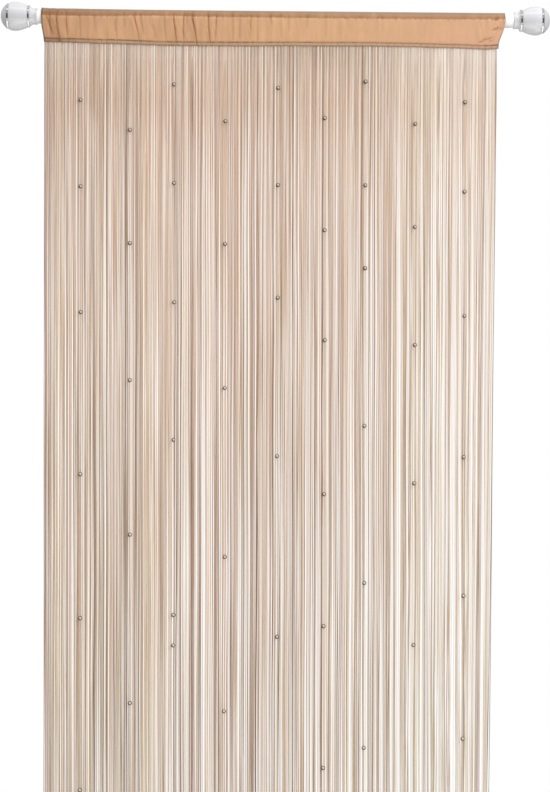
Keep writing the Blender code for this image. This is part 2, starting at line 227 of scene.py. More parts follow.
# The slow waves in which each string sways on its own, in metres and millimetres
OWN_SWAYS = [
    # wave length, reach
    (0.7, 0.12),
    (1.4, 0.35),
    (3.1, 0.9),
]

# How much paler the strings are from the left edge to the right one
TONE_ACROSS = [
    # share of the width, change of tone
    (0.0, 0.02),
    (0.15, 0.0),
    (0.5, -0.03),
    (0.8, 0.08),
    (1.0, 0.18),
]

# Colours of the yarn from its darkest strings to its palest
YARN_TONES: Stops = (
    (0.0, (0.20, 0.13, 0.095)),
    (0.1, (0.37, 0.255, 0.185)),
    (0.2, (0.54, 0.40, 0.30)),
    (0.4, (0.655, 0.495, 0.375)),
    (0.62, (0.735, 0.565, 0.43)),
    (0.82, (0.86, 0.71, 0.55)),
    (1.0, (0.98, 0.89, 0.745)),
)

# Shades of the strings from the hem down and from left to right, and the painted shadow just under the hem,
# from left to right
YARN_DOWN: Stops = (
    (0.0, (0.90, 0.935, 0.98)),
    (0.06, (0.97, 0.965, 0.965)),
    (0.12, (0.975, 0.965, 0.96)),
    (0.30, (0.955, 0.95, 0.94)),
    (0.6, (0.89, 0.89, 0.885)),
    (1.0, (0.82, 0.86, 0.895)),
)
YARN_ACROSS: Stops = (
    (0.0, (1.0, 1.0, 1.0)),
    (0.3, (1.045, 1.03, 1.02)),
    (0.56, (0.98, 0.955, 0.93)),
    (0.7, (0.995, 0.98, 0.97)),
    (0.8, (1.05, 1.09, 1.11)),
    (1.0, (1.02, 1.06, 1.12)),
)
YARN_HEM_SHADOW: Stops = (
    (0.38, (1.0, 1.0, 1.0)),
    (0.5, (0.84, 0.80, 0.75)),
    (0.6, (0.80, 0.75, 0.68)),
    (0.7, (0.83, 0.79, 0.73)),
    (0.86, (1.0, 1.0, 1.0)),
)

# Painted shade of the satin, darker towards the left, with a bluer tint at its right end; and its faint
# patches
SATIN_ACROSS: Stops = (
    (0.0, (0.962, 0.941, 0.932)),
    (0.33, (0.967, 0.957, 0.951)),
    (0.5, (0.985, 0.995, 0.985)),
    (0.68, (1.0, 1.015, 1.03)),
    (1.0, (0.99, 0.99, 1.08)),
)
SATIN_PATCHES: Stops = ((0.3, (1.03, 0.97, 1.04)), (0.7, (0.985, 1.01, 0.93)))

# Colours of the sewing thread
SEWING_TONES: Stops = ((0.0, (0.22, 0.125, 0.065)), (1.0, (0.32, 0.19, 0.105)))

# The surroundings from straight down to straight up: their light, and what gloss at the front mirrors
SKY: Stops = (
    (0.0, (0.20, 0.20, 0.21)),
    (0.45, (0.44, 0.44, 0.45)),
    (0.52, (0.74, 0.74, 0.74)),
    (0.75, (1.22, 1.22, 1.22)),
    (1.0, (1.50, 1.50, 1.50)),
)
MIRRORED_AHEAD: Stops = (
    (0.0, (0.40, 0.40, 0.41)),
    (0.15, (0.60, 0.60, 0.61)),
    (0.25, (0.88, 0.88, 0.88)),
    (0.29, (0.08, 0.08, 0.085)),
    (0.64, (0.08, 0.08, 0.085)),
    (0.70, (0.55, 0.55, 0.555)),
    (0.76, (0.55, 0.55, 0.555)),
    (0.79, (0.16, 0.16, 0.165)),
    (0.82, (0.16, 0.16, 0.165)),
    (0.87, (0.95, 0.95, 0.95)),
    (0.95, (1.05, 1.05, 1.05)),
    (0.98, (0.35, 0.35, 0.355)),
)

# The studio's lights, in metres and watts
LIGHTS = [
    # name, place, what it points at, side of its panel, power
    ("key", (2.0, -2.4, 0.7), (0.1, 0.0, -0.5), 1.2, 52.0),
    ("fill", (-1.8, -2.8, -0.4), (0.0, 0.0, -0.9), 2.0, 10.5),
]


class Slot(Enum):
    """Material slots that the pieces carry."""

    WHITE_GLOSS = "white_gloss"
    PEARL_CAP = "pearl_cap"
    CHROME = "chrome"
    SATIN = "satin"
    STRING = "string"
    BEAD = "bead"


class Side(Enum):
    """The two ends of the rod, by the direction in which each one points."""

    LEFT = -1
    RIGHT = 1


# The middle of each finial's rings, from the middle of the rod
RING_PLACES = {
    # side: ring under the cap, ring round the neck
    Side.LEFT: (531.2, 490.3),
    Side.RIGHT: (530.2, 488.4),
}


def smooth_step(share: np.ndarray) -> np.ndarray:
    """Ease a share from 0 to 1."""
    held = np.clip(share, 0.0, 1.0)
    return held * held * (3.0 - 2.0 * held)


def bell(offset: np.ndarray) -> np.ndarray:
    """A soft bump: 1 where the offset is 0, and next to nothing from 2 on."""
    return np.exp(-(offset**2))


def read_table(rows: list, where: np.ndarray, column: int = 1) -> np.ndarray:
    """Read a table in millimetres with a smooth step between its rows.

    Args:
        rows: rows in order of their first column.
        where: places in metres.
        column: the column to read.

    Returns:
        The column's values in metres.
    """
    places = np.array([row[0] for row in rows])
    values = np.array([row[column] for row in rows])
    at = np.clip(np.asarray(where, float) / MM, places[0], places[-1])
    start = np.clip(np.searchsorted(places, at, side="right") - 1, 0, len(places) - 2)
    share = smooth_step((at - places[start]) / (places[start + 1] - places[start]))
    return (values[start] + (values[start + 1] - values[start]) * share) * MM


def hem_drop(place: np.ndarray) -> np.ndarray:
    """How far the hem's lower edge hangs below the rod's axis."""
    return read_table(HEM_DROPS, place)


def grid_faces(rows: int, columns: int, closed: bool = False, looped: bool = False) -> np.ndarray:
    """Quads of a grid of points that is stored row by row.

    Args:
        rows: number of rows.
        columns: number of points in a row.
        closed: whether each row's last point joins its first.
        looped: whether the last row joins the first.

    Returns:
        An array of four indices for each quad.
    """
    row = np.arange(rows if looped else rows - 1)[:, None]
    column = np.arange(columns if closed else columns - 1)[None, :]
    here = row * columns
    below = (row + 1) % rows * columns
    after = (column + 1) % columns
    corners = (here + column, here + after, below + after, below + column)
    return np.stack([corner.ravel() for corner in corners], axis=1)


def arc(centre: tuple[float, float], radius: float, start: float, end: float, steps: int) -> Profile:
    """Points of an arc in the plane of a profile.

    Args:
        centre: the arc's centre, along the axis and out from it.
        radius: the arc's radius.
        start: first angle in degrees, 0 outwards along the axis and 90 away from it.
        end: last angle in degrees.
        steps: number of steps.

    Returns:
        The arc's points.
    """
    angles = np.radians(np.linspace(start, end, steps + 1))
    return [(centre[0] + radius * math.cos(a), centre[1] + radius * math.sin(a)) for a in angles]


def revolve(profile: Profile, steps: int) -> np.ndarray:
    """Turn a profile about its axis.

    Args:
        profile: rows of (distance along the axis, radius).
        steps: number of steps in the turn.

    Returns:
        Points by row and step: distance along the axis, then the two directions across it.
    """
    along, radius = np.array(profile, float).T[:, :, None]
    angle = np.arange(steps) * FULL_TURN / steps
    along = np.broadcast_to(along, (len(profile), steps))
    return np.stack([along, radius * np.cos(angle), radius * np.sin(angle)], axis=-1)


def tubes(lines: np.ndarray, radii: np.ndarray, sides: int) -> tuple[np.ndarray, list]:
    """Capped tubes along upright lines.

    Args:
        lines: points by line, level and axis.
        radii: radius by line and level.
        sides: number of sides.

    Returns:
        The tubes' points and faces.
    """
    count, levels = lines.shape[:2]
    angle = (np.arange(sides) + 0.5) * FULL_TURN / sides
    ring = np.stack([np.cos(angle), np.sin(angle), np.zeros(sides)], axis=-1)
    points = lines[:, :, None, :] + radii[:, :, None, None] * ring
    starts = np.arange(count) * levels * sides
    quads = grid_faces(levels, sides, closed=True)[None] + starts[:, None, None]
    faces = quads.reshape(-1, 4)[:, ::-1].tolist()
    top = starts[:, None] + np.arange(sides)
    bottom = top + (levels - 1) * sides
    return points.reshape(-1, 3), faces + top.tolist() + bottom[:, ::-1].tolist()


@dataclass
class Piece:
    """One visible piece in the making."""

    name: str
    slot: Slot
    stands_for: tuple[str, ...] = ()
    sharp_angle: float = 0.0

    def make(
        self,
        points: np.ndarray,
        faces: list,
        material: Material,
        values: dict[str, np.ndarray] | None = None,
    ) -> Object:
        """Make the piece's object, dress it and let it ride on the body.

        Args:
            points: the mesh's points.
            faces: the mesh's faces, as lists of point indices.
            material: the finish.
            values: named values of the points, which the finish reads.

        Returns:
            The new object.
        """
        mesh = bpy.data.meshes.new(self.name)
        mesh.from_pydata(points.reshape(-1, 3).tolist(), [], faces)
        for key, value in (values or {}).items():
            layer = mesh.attributes.new(key, "FLOAT", "POINT")
            layer.data.foreach_set("value", np.asarray(value, np.float32).ravel())
        mesh.shade_smooth()
        if self.sharp_angle:
            mesh.set_sharp_from_angle(angle=self.sharp_angle)
        mesh.materials.append(material)
        piece = bpy.data.objects.new(self.name, mesh)
        bpy.context.scene.collection.objects.link(piece)
        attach(piece, BODY)
        if self.stands_for:
            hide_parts(*self.stands_for)
        LOG.info("%s: %d points, %d faces", self.name, len(mesh.vertices), len(mesh.polygons))
        return piece

    def turn(self, profile: Profile, side: Side, material: Material, closed: bool) -> Object:
        """Make the piece as one that is turned about the rod's axis.

        Args:
            profile: rows of (distance along the rod from its middle, radius), from the outer end inwards.
            side: the end of the rod that the distances run towards.
            material: the finish.
            closed: whether the profile's last row joins its first; otherwise both lie on the axis.

        Returns:
            The new object.
        """
        points = revolve(profile, LATHE_STEPS) * (side.value, 1.0, 1.0)
        if closed:
            faces = grid_faces(len(profile), LATHE_STEPS, closed=True, looped=True).tolist()
        else:
            poles = points[[0, -1], 0]
            faces = grid_faces(len(profile) - 2, LATHE_STEPS, closed=True).tolist()
            points = points[1:-1].reshape(-1, 3)
            outer_pole = len(points)
            last = outer_pole - LATHE_STEPS
            for i in range(LATHE_STEPS):
                after = (i + 1) % LATHE_STEPS
                faces.append([outer_pole, after, i])
                faces.append([last + i, last + after, outer_pole + 1])
            points = np.vstack([points, poles])
        if side is Side.RIGHT:
            faces = [face[::-1] for face in faces]
        return self.make(points, faces, material)


@dataclass(frozen=True)
class Ripple:
    """A soft uneven wave, the sum of sine waves of many lengths."""

    lengths: np.ndarray
    phases: np.ndarray
    drifts: np.ndarray

    @classmethod
    def draw(
        cls, rng: np.random.Generator, count: int, shortest: float, longest: float, drift: float = 0.0
    ) -> "Ripple":
        """Draw the waves.

        Args:
            rng: source of the random draws.
            count: number of waves.
            shortest: shortest wave length in millimetres.
            longest: longest wave length in millimetres.
            drift: greatest turn of a wave's phase over one metre of the second coordinate.

        Returns:
            The ripple.
        """
        lengths = shortest * MM * (longest / shortest) ** rng.uniform(0.0, 1.0, count)
        return cls(lengths, rng.uniform(0.0, FULL_TURN, count), rng.uniform(-drift, drift, count))

    def at(self, place: np.ndarray, along: np.ndarray | float = 0.0) -> np.ndarray:
        """Height of the ripple, about 1 at its root mean square.

        Args:
            place: where, along the waves.
            along: where, along the second coordinate.

        Returns:
            The heights.
        """
        total = np.zeros(np.broadcast(place, along).shape)
        for length, phase, drift in zip(self.lengths, self.phases, self.drifts):
            total = total + np.sin(FULL_TURN * place / length + phase + drift * along)
        return total * math.sqrt(2.0 / len(self.lengths))


class NodeTree:
    """Short calls for adding nodes and links to a node tree."""

    def __init__(self, tree: bpy.types.NodeTree) -> None:
        """Keep the tree that the calls work on."""
        self.tree = tree

    def feed(self, node: bpy.types.Node, inputs: dict[int | str, object]) -> bpy.types.Node:
        """Link or set inputs of a node.

        Args:
            node: the node.
            inputs: sockets to link or values to set, by the input's number or name.

        Returns:
            The same node.
        """
        for key, value in inputs.items():
            if isinstance(value, Socket):
                self.tree.links.new(value, node.inputs[key])
            else:
                node.inputs[key].default_value = value
        return node

    def add(
        self, kind: str, inputs: dict[int | str, object] | None = None, **settings: object
    ) -> bpy.types.Node:
        """Add a shader node.

        Args:
            kind: the node's type, without the words that all shader nodes share.
            inputs: what to feed to its inputs.
            settings: the node's own properties by name.

        Returns:
            The new node.
        """
        node = self.tree.nodes.new(f"ShaderNode{kind}")
        for key, value in settings.items():
            setattr(node, key, value)
        return self.feed(node, inputs or {})

    def place(self) -> Socket:
        """Add a node for the place on the object, in metres."""
        return self.add("TexCoord").outputs["Object"]

    def value(self, name: str) -> Socket:
        """Add a node for a named value of the mesh's points."""
        return self.add("Attribute", attribute_name=name).outputs["Fac"]

    def math(self, operation: str, first: object, second: object = 0.0) -> Socket:
        """Add a Math node."""
        return self.add("Math", {0: first, 1: second}, operation=operation).outputs[0]

    def blend(self, mode: str, factor: object, first: object, second: object) -> Socket:
        """Add a colour Mix node."""
        inputs = {0: factor, 6: first, 7: second}
        return self.add("Mix", inputs, data_type="RGBA", blend_type=mode).outputs[2]

    def noise(self, place: Socket, scale: object, detail: float = 2.0, roughness: float = 0.5) -> Socket:
        """Add a Noise Texture node."""
        inputs = {"Vector": place, "Scale": scale, "Detail": detail, "Roughness": roughness}
        return self.add("TexNoise", inputs).outputs[0]

    def remap(self, value: Socket, start: float, end: float, low: float = 0.0, high: float = 1.0) -> Socket:
        """Add a Map Range node that turns start into low and end into high."""
        return self.add("MapRange", {0: value, 1: start, 2: end, 3: low, 4: high}).outputs[0]

    def bump(self, height: Socket, strength: float, depth: float) -> bpy.types.Node:
        """Add a Bump node."""
        return self.add("Bump", {"Height": height, "Strength": strength, "Distance": depth})

    def ramp(self, factor: Socket, stops: Stops) -> Socket:
        """Add a colour ramp.

        Args:
            factor: the value that picks the colour.
            stops: places on the ramp and their colours.

        Returns:
            The colour.
        """
        node = self.add("ValToRGB", {0: factor})
        elements = node.color_ramp.elements
        for index, (place, colour) in enumerate(stops):
            element = elements[index] if index < 2 else elements.new(place)
            element.position = place
            element.color = (*colour, 1.0)
        return node.outputs[0]


class SharedEffects:
    """Node groups that several finishes use, each built once."""

    def __init__(self) -> None:
        """Build the groups."""
        self.mottle = self._mottle()
        self.ribs = self._ribs()
        self.polish = self._polish()

    @staticmethod
    def _group(name: str, inputs: list[tuple[str, str, object]], output: tuple[str, str]) -> tuple:
        """Start a group with its sockets.

        Args:
            name: the group's name.
            inputs: name, socket type and default of each input.
            output: name and socket type of the output.

        Returns:
            The group, its node calls, the sockets of its inputs and its output node.
        """
        group = bpy.data.node_groups.new(name, "ShaderNodeTree")
        for label, kind, default in inputs:
            socket = group.interface.new_socket(name=label, in_out="INPUT", socket_type=kind)
            socket.default_value = default
        group.interface.new_socket(name=output[0], in_out="OUTPUT", socket_type=output[1])
        given = group.nodes.new("NodeGroupInput").outputs
        return group, NodeTree(group), given, group.nodes.new("NodeGroupOutput")

    def _mottle(self) -> bpy.types.NodeTree:
        """Build the uneven colour: the given colour, lighter and darker in soft patches.

        Returns:
            The group.
        """
        inputs = [
            ("Colour", "NodeSocketColor", (0.8, 0.8, 0.8, 1.0)),
            ("Patches per metre", "NodeSocketVector", (10.0, 10.0, 10.0)),
            ("Amount", "NodeSocketFloat", 0.1),
        ]
        group, nodes, given, made = self._group("mottle", inputs, ("Colour", "NodeSocketColor"))
        spread = nodes.add("VectorMath", {0: nodes.place(), 1: given[1]}, operation="MULTIPLY").outputs[0]
        centred = nodes.math("SUBTRACT", nodes.noise(spread, 1.0, 3.0, 0.55), 0.5)
        change = nodes.math("MULTIPLY", nodes.math("MULTIPLY", centred, 2.0), given[2])
        factor = nodes.math("ADD", change, 1.0)
        shade = nodes.add("CombineColor", {0: factor, 1: factor, 2: factor}).outputs[0]
        nodes.feed(made, {0: nodes.blend("MULTIPLY", 1.0, given[0], shade)})
        return group

    def _ribs(self) -> bpy.types.NodeTree:
        """Build fine slanting ribs, for the yarn's twist and the satin's floats: a height from 0 to 1.

        Returns:
            The group.
        """
        inputs = [
            ("Ribs per metre", "NodeSocketVector", (0.0, 0.0, 1000.0)),
            ("Roughness", "NodeSocketFloat", 0.2),
        ]
        group, nodes, given, made = self._group("ribs", inputs, ("Height", "NodeSocketFloat"))
        place = nodes.place()
        counted = nodes.add("VectorMath", {0: place, 1: given[0]}, operation="DOT_PRODUCT").outputs["Value"]
        uneven = nodes.math("MULTIPLY", nodes.noise(place, 900.0), given[1])
        turned = nodes.math("MULTIPLY", nodes.math("ADD", counted, uneven), FULL_TURN)
        wave = nodes.math("MULTIPLY", nodes.math("SINE", turned), 0.5)
        nodes.feed(made, {0: nodes.math("ADD", wave, 0.5)})
        return group

    def _polish(self) -> bpy.types.NodeTree:
        """Build the uneven polish: a roughness that faint smudges and rubbed places change.

        Returns:
            The group.
        """
        inputs = [
            ("Roughness", "NodeSocketFloat", 0.2),
            ("Smudge", "NodeSocketFloat", 0.05),
            ("Patches per metre", "NodeSocketFloat", 60.0),
        ]
        group, nodes, given, made = self._group("polish", inputs, ("Roughness", "NodeSocketFloat"))
        smudge = nodes.math("MULTIPLY", nodes.noise(nodes.place(), given[2], 4.0), given[1])
        nodes.feed(made, {0: nodes.math("ADD", given[0], smudge)})
        return group


class MaterialNodes(NodeTree):
    """The nodes of one material, with its shader and the effects that it can use."""

    def __init__(self, material: Material, effects: SharedEffects) -> None:
        """Keep the material's tree, its shader and the shared effects.

        Args:
            material: the material.
            effects: the shared node groups.
        """
        super().__init__(material.node_tree)
        self.shader = self.tree.nodes["Principled BSDF"]
        self.effects = effects

    def mottled(self, colour: object, patches: tuple[float, float, float], amount: object) -> Socket:
        """Make a colour uneven, with so many patches per metre along each axis."""
        inputs = {0: colour, 1: patches, 2: amount}
        return self.add("Group", inputs, node_tree=self.effects.mottle).outputs[0]

    def polished(self, roughness: float, smudge: float, patches: float) -> Socket:
        """Make a roughness uneven, with so many patches per metre."""
        inputs = {0: roughness, 1: smudge, 2: patches}
        return self.add("Group", inputs, node_tree=self.effects.polish).outputs[0]

    def ribbed(self, per_metre: tuple[float, float, float], roughness: float) -> Socket:
        """Make the height of slanting ribs, with so many ribs per metre along each axis."""
        return self.add("Group", {0: per_metre, 1: roughness}, node_tree=self.effects.ribs).outputs[0]


@dataclass(frozen=True)
class Finish:
    """What every finish states: its name, colour and shine."""

    name: str
    colour: Colour
    roughness: float

    def build(self, effects: SharedEffects) -> Material:
        """Build the material.

        Args:
            effects: the shared node groups.

        Returns:
            The material.
        """
        material = bpy.data.materials.new(self.name)
        material.use_nodes = True
        material.diffuse_color = (*self.colour, 1.0)
        nodes = MaterialNodes(material, effects)
        nodes.shader.inputs["Roughness"].default_value = self.roughness
        self.dress(nodes)
        return material

    def dress(self, nodes: MaterialNodes) -> None:
        """Add the finish's own nodes; each kind of finish says which."""
        raise NotImplementedError


@dataclass(frozen=True)
class HardFinish(Finish):
    """Lacquer, chrome or moulded pearl on the rod and the finials."""

    metallic: float = 0.0
    coat: float = 0.0
    coat_roughness: float = 0.06
    smudge: float = 0.04
    patch_size: float = 12.0 * MM
    mottle: float = 0.02
    bump: float = 0.02
    grains_per_metre: float = 1400.0

    def dress(self, nodes: MaterialNodes) -> None:
        """Add faint patches in the colour and the polish, and a fine grain.

        Args:
            nodes: the material's nodes.
        """
        patches = 1.0 / self.patch_size
        grain = nodes.noise(nodes.place(), self.grains_per_metre)
        inputs = {
            "Base Color": nodes.mottled((*self.colour, 1.0), (patches, patches, patches), self.mottle),
            "Roughness": nodes.polished(self.roughness, self.smudge, patches * 2),
            "Normal": nodes.bump(grain, self.bump, 0.2 * MM).outputs[0],
            "Metallic": self.metallic,
            "Coat Weight": self.coat,
            "Coat Roughness": self.coat_roughness,
        }
        nodes.feed(nodes.shader, inputs)


@dataclass(frozen=True)
class BeadFinish(Finish):
    """The beads' bronze lustre, pale on its face, with a painted dark reflection round its rim and painted
    shade on its lower left side and its bored ends.
    """

    # Colour and strength of the painted dark reflection round the rim; the same colour paints the shade on
    # the lower left side and the bored ends
    rim: Colour = (0.085, 0.055, 0.038)
    rim_amount: float = 0.96
    patches_per_metre: float = 400.0

    def dress(self, nodes: MaterialNodes) -> None:
        """Add the painted shade on the bored ends and the lower left side, the painted dark reflection round
        the rim, and faint patches in the colour and the polish.

        Args:
            nodes: the material's nodes.
        """
        patches = self.patches_per_metre
        colour = nodes.mottled((*self.colour, 1.0), (patches, patches, patches), 0.12)
        # Painted shade on the lower left side and the bored ends, then a painted dark reflection round the
        # rim
        colour = nodes.blend("MIX", nodes.value("dark"), colour, (*self.rim, 1.0))
        facing = nodes.add("LayerWeight", {"Blend": 0.5}).outputs["Facing"]
        rim = nodes.remap(facing, 0.06, 0.37, 0.0, self.rim_amount)
        inputs = {
            "Base Color": nodes.blend("MIX", rim, colour, (*self.rim, 1.0)),
            "Roughness": nodes.polished(self.roughness, 0.08, 500.0),
            "Specular IOR Level": 0.3,
        }
        nodes.feed(nodes.shader, inputs)


@dataclass(frozen=True)
class SatinFinish(Finish):
    """The pocket's satin, with painted shade over the crown, at its ends and in the creases and seams, and a
    darker hem band.
    """

    # Painted shade over the upward-facing crown, at the open ends and in the creases, grooves and seams
    painted_crown_shade: Colour = (0.46, 0.50, 0.54)
    hem_shade: Colour = (0.77, 0.84, 0.92)
    painted_edge_shade: Colour = (0.42, 0.50, 0.60)
    crease_shade: Colour = (0.48, 0.40, 0.31)
    half_width: float = 0.46
    streaks: tuple[float, float] = (0.24, 0.08)
    floats_per_metre: float = 3000.0
    slant: float = 0.12

    def dress(self, nodes: MaterialNodes) -> None:
        """Add patches, streaks that fade to the right, a painted shade that darkens the left, the darker hem
        band, the places painted with shade, and the weave's floats.

        Args:
            nodes: the material's nodes.
        """
        place = nodes.place()
        aside = nodes.add("SeparateXYZ", {0: place}).outputs[0]
        colour = nodes.mottled((*self.colour, 1.0), (14.0, 14.0, 22.0), 0.07)
        # Painted shade, darker towards the left
        across = nodes.remap(aside, -self.half_width, self.half_width)
        colour = nodes.blend("MULTIPLY", 1.0, colour, nodes.ramp(across, SATIN_ACROSS))
        colour = nodes.mottled(colour, (95.0, 20.0, 9.0), nodes.remap(aside, -0.15, 0.15, *self.streaks))
        tint = nodes.ramp(nodes.noise(place, 75.0), SATIN_PATCHES)
        colour = nodes.blend("MULTIPLY", 1.0, colour, tint)
        colour = nodes.mottled(colour, (420.0, 420.0, 60.0), 0.05)
        shades = {
            "crown": self.painted_crown_shade,
            "hem": self.hem_shade,
            "edge": self.painted_edge_shade,
            "crease": self.crease_shade,
        }
        for name, shade in shades.items():
            colour = nodes.blend("MULTIPLY", nodes.value(name), colour, (*shade, 1.0))
        floats = nodes.ribbed((self.floats_per_metre * self.slant, 0.0, self.floats_per_metre), 0.6)
        weave = nodes.bump(floats, 0.25, 0.05 * MM)
        crumple = nodes.bump(nodes.noise(place, 90.0, 3.0, 0.6), 0.35, 0.8 * MM)
        nodes.feed(crumple, {"Normal": weave.outputs[0]})
        inputs = {
            "Base Color": colour,
            "Normal": crumple.outputs[0],
            "Sheen Weight": 0.25,
            "Sheen Roughness": 0.35,
            "Specular IOR Level": 0.35,
        }
        nodes.feed(nodes.shader, inputs)


@dataclass(frozen=True)
class YarnFinish(Finish):
    """Twisted yarn whose strands differ a little in tone."""

    tones: Stops = YARN_TONES
    cool: Colour = (1.0, 0.90, 0.90)
    warm: Colour = (0.98, 1.0, 0.84)
    twists_per_metre: float = 900.0
    hanging: bool = True
    left: float = -0.46
    right: float = 0.45
    top: float = -0.06
    evenness_at_top: float = 0.5

    def dress(self, nodes: MaterialNodes) -> None:
        """Add each strand's tone and tint, faint patches, and the twist.

        Args:
            nodes: the material's nodes.
        """
        hue_stops = ((0.0, self.cool), (0.5, (1.0, 1.0, 1.0)), (1.0, self.warm))
        colour = nodes.ramp(nodes.value("tone"), self.tones)
        colour = nodes.blend("MULTIPLY", 1.0, colour, nodes.ramp(nodes.value("hue"), hue_stops))
        if self.hanging:
            colour = self._shaded(nodes, colour)
        colour = nodes.mottled(colour, (260.0, 260.0, 3.0), 0.14)
        colour = nodes.mottled(colour, (3.5, 3.5, 2.5), 0.06)
        twist = nodes.ribbed((self.twists_per_metre, 0.0, self.twists_per_metre), 0.3)
        inputs = {
            "Base Color": colour,
            "Normal": nodes.bump(twist, 0.5, 0.15 * MM).outputs[0],
            "Sheen Weight": 0.2,
            "Sheen Roughness": 0.5,
            "Specular IOR Level": 0.3,
        }
        nodes.feed(nodes.shader, inputs)

    def _shaded(self, nodes: MaterialNodes, colour: Socket) -> Socket:
        """Shade hanging yarn by its place in the curtain, even it out near the hem, and paint the hem's
        shadow just under it.

        Args:
            nodes: the material's nodes.
            colour: the strands' own colour.

        Returns:
            The shaded colour.
        """
        aside, _, height = nodes.add("SeparateXYZ", {0: nodes.place()}).outputs
        across = nodes.remap(aside, self.left, self.right)
        down = nodes.remap(height, self.top, -1.5)
        even = nodes.remap(height, self.top, -1.3, self.evenness_at_top, 0.0)
        # Painted shadow of the hem on the strings just under it
        hem_shadow = nodes.math("POWER", nodes.remap(height, -0.19, -0.07), 2.2)
        colour = nodes.blend("MIX", even, colour, (*self.colour, 1.0))
        colour = nodes.blend("MULTIPLY", 1.0, colour, nodes.ramp(down, YARN_DOWN))
        colour = nodes.blend("MULTIPLY", 1.0, colour, nodes.ramp(across, YARN_ACROSS))
        return nodes.blend("MULTIPLY", hem_shadow, colour, nodes.ramp(across, YARN_HEM_SHADOW))


class Finishes:
    """The materials of all the pieces."""

    def __init__(self) -> None:
        """Build each material."""
        effects = SharedEffects()
        white = HardFinish("white_gloss_lacquer", (0.92, 0.92, 0.915), 0.12, coat=0.3, smudge=0.03)
        bulb = HardFinish(
            "white_pearl_lacquer", (0.69, 0.69, 0.70), 0.16, metallic=0.18, coat=0.2, smudge=0.02, bump=0.004
        )
        pearl = HardFinish("grey_pearl", (0.50, 0.50, 0.51), 0.42, coat=0.1, mottle=0.05, bump=0.05)
        chrome = HardFinish("polished_chrome", (0.86, 0.86, 0.87), 0.05, metallic=1.0, mottle=0.03)
        stitch = YarnFinish(
            "tan_sewing_thread", (0.46, 0.28, 0.16), 0.5, tones=SEWING_TONES, cool=(1.0, 1.0, 1.0),
            warm=(1.0, 1.0, 1.0), twists_per_metre=2400.0, hanging=False
        )
        self.white = white.build(effects)
        self.bulb = bulb.build(effects)
        self.pearl = pearl.build(effects)
        self.chrome = chrome.build(effects)
        self.bead = BeadFinish("bronze_pearl", (0.60, 0.51, 0.41), 0.22).build(effects)
        self.satin = SatinFinish("tan_satin", (0.636, 0.374, 0.206), 0.42).build(effects)
        self.yarn = YarnFinish("beige_yarn", (0.67, 0.50, 0.385), 0.55).build(effects)
        self.stitch = stitch.build(effects)


@dataclass
class Rod:
    """The straight tube, whose ends sit in the finials' sockets."""

    radius: float = ROD_RADIUS
    wall: float = 1.2 * MM
    edge: float = 0.3 * MM

    def build(self, finishes: Finishes) -> Object:
        """Build the tube, as long as its solid.

        Args:
            finishes: the materials.

        Returns:
            The tube.
        """
        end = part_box("rod")[1].x
        bore = self.radius - self.wall
        half = [(end, bore + self.edge), (end, self.radius - self.edge), (end - self.edge, self.radius)]
        rings = [(end * share, self.radius) for share in np.linspace(0.98, -0.98, 9)]
        far = [(-along, radius) for along, radius in half[::-1]]
        inner = [(-end + self.edge, bore), (end - self.edge, bore)]
        piece = Piece("rod_tube", Slot.WHITE_GLOSS, ("rod",), SHARP_EDGE)
        return piece.turn(half + rings + far + inner, Side.RIGHT, finishes.white, closed=True)


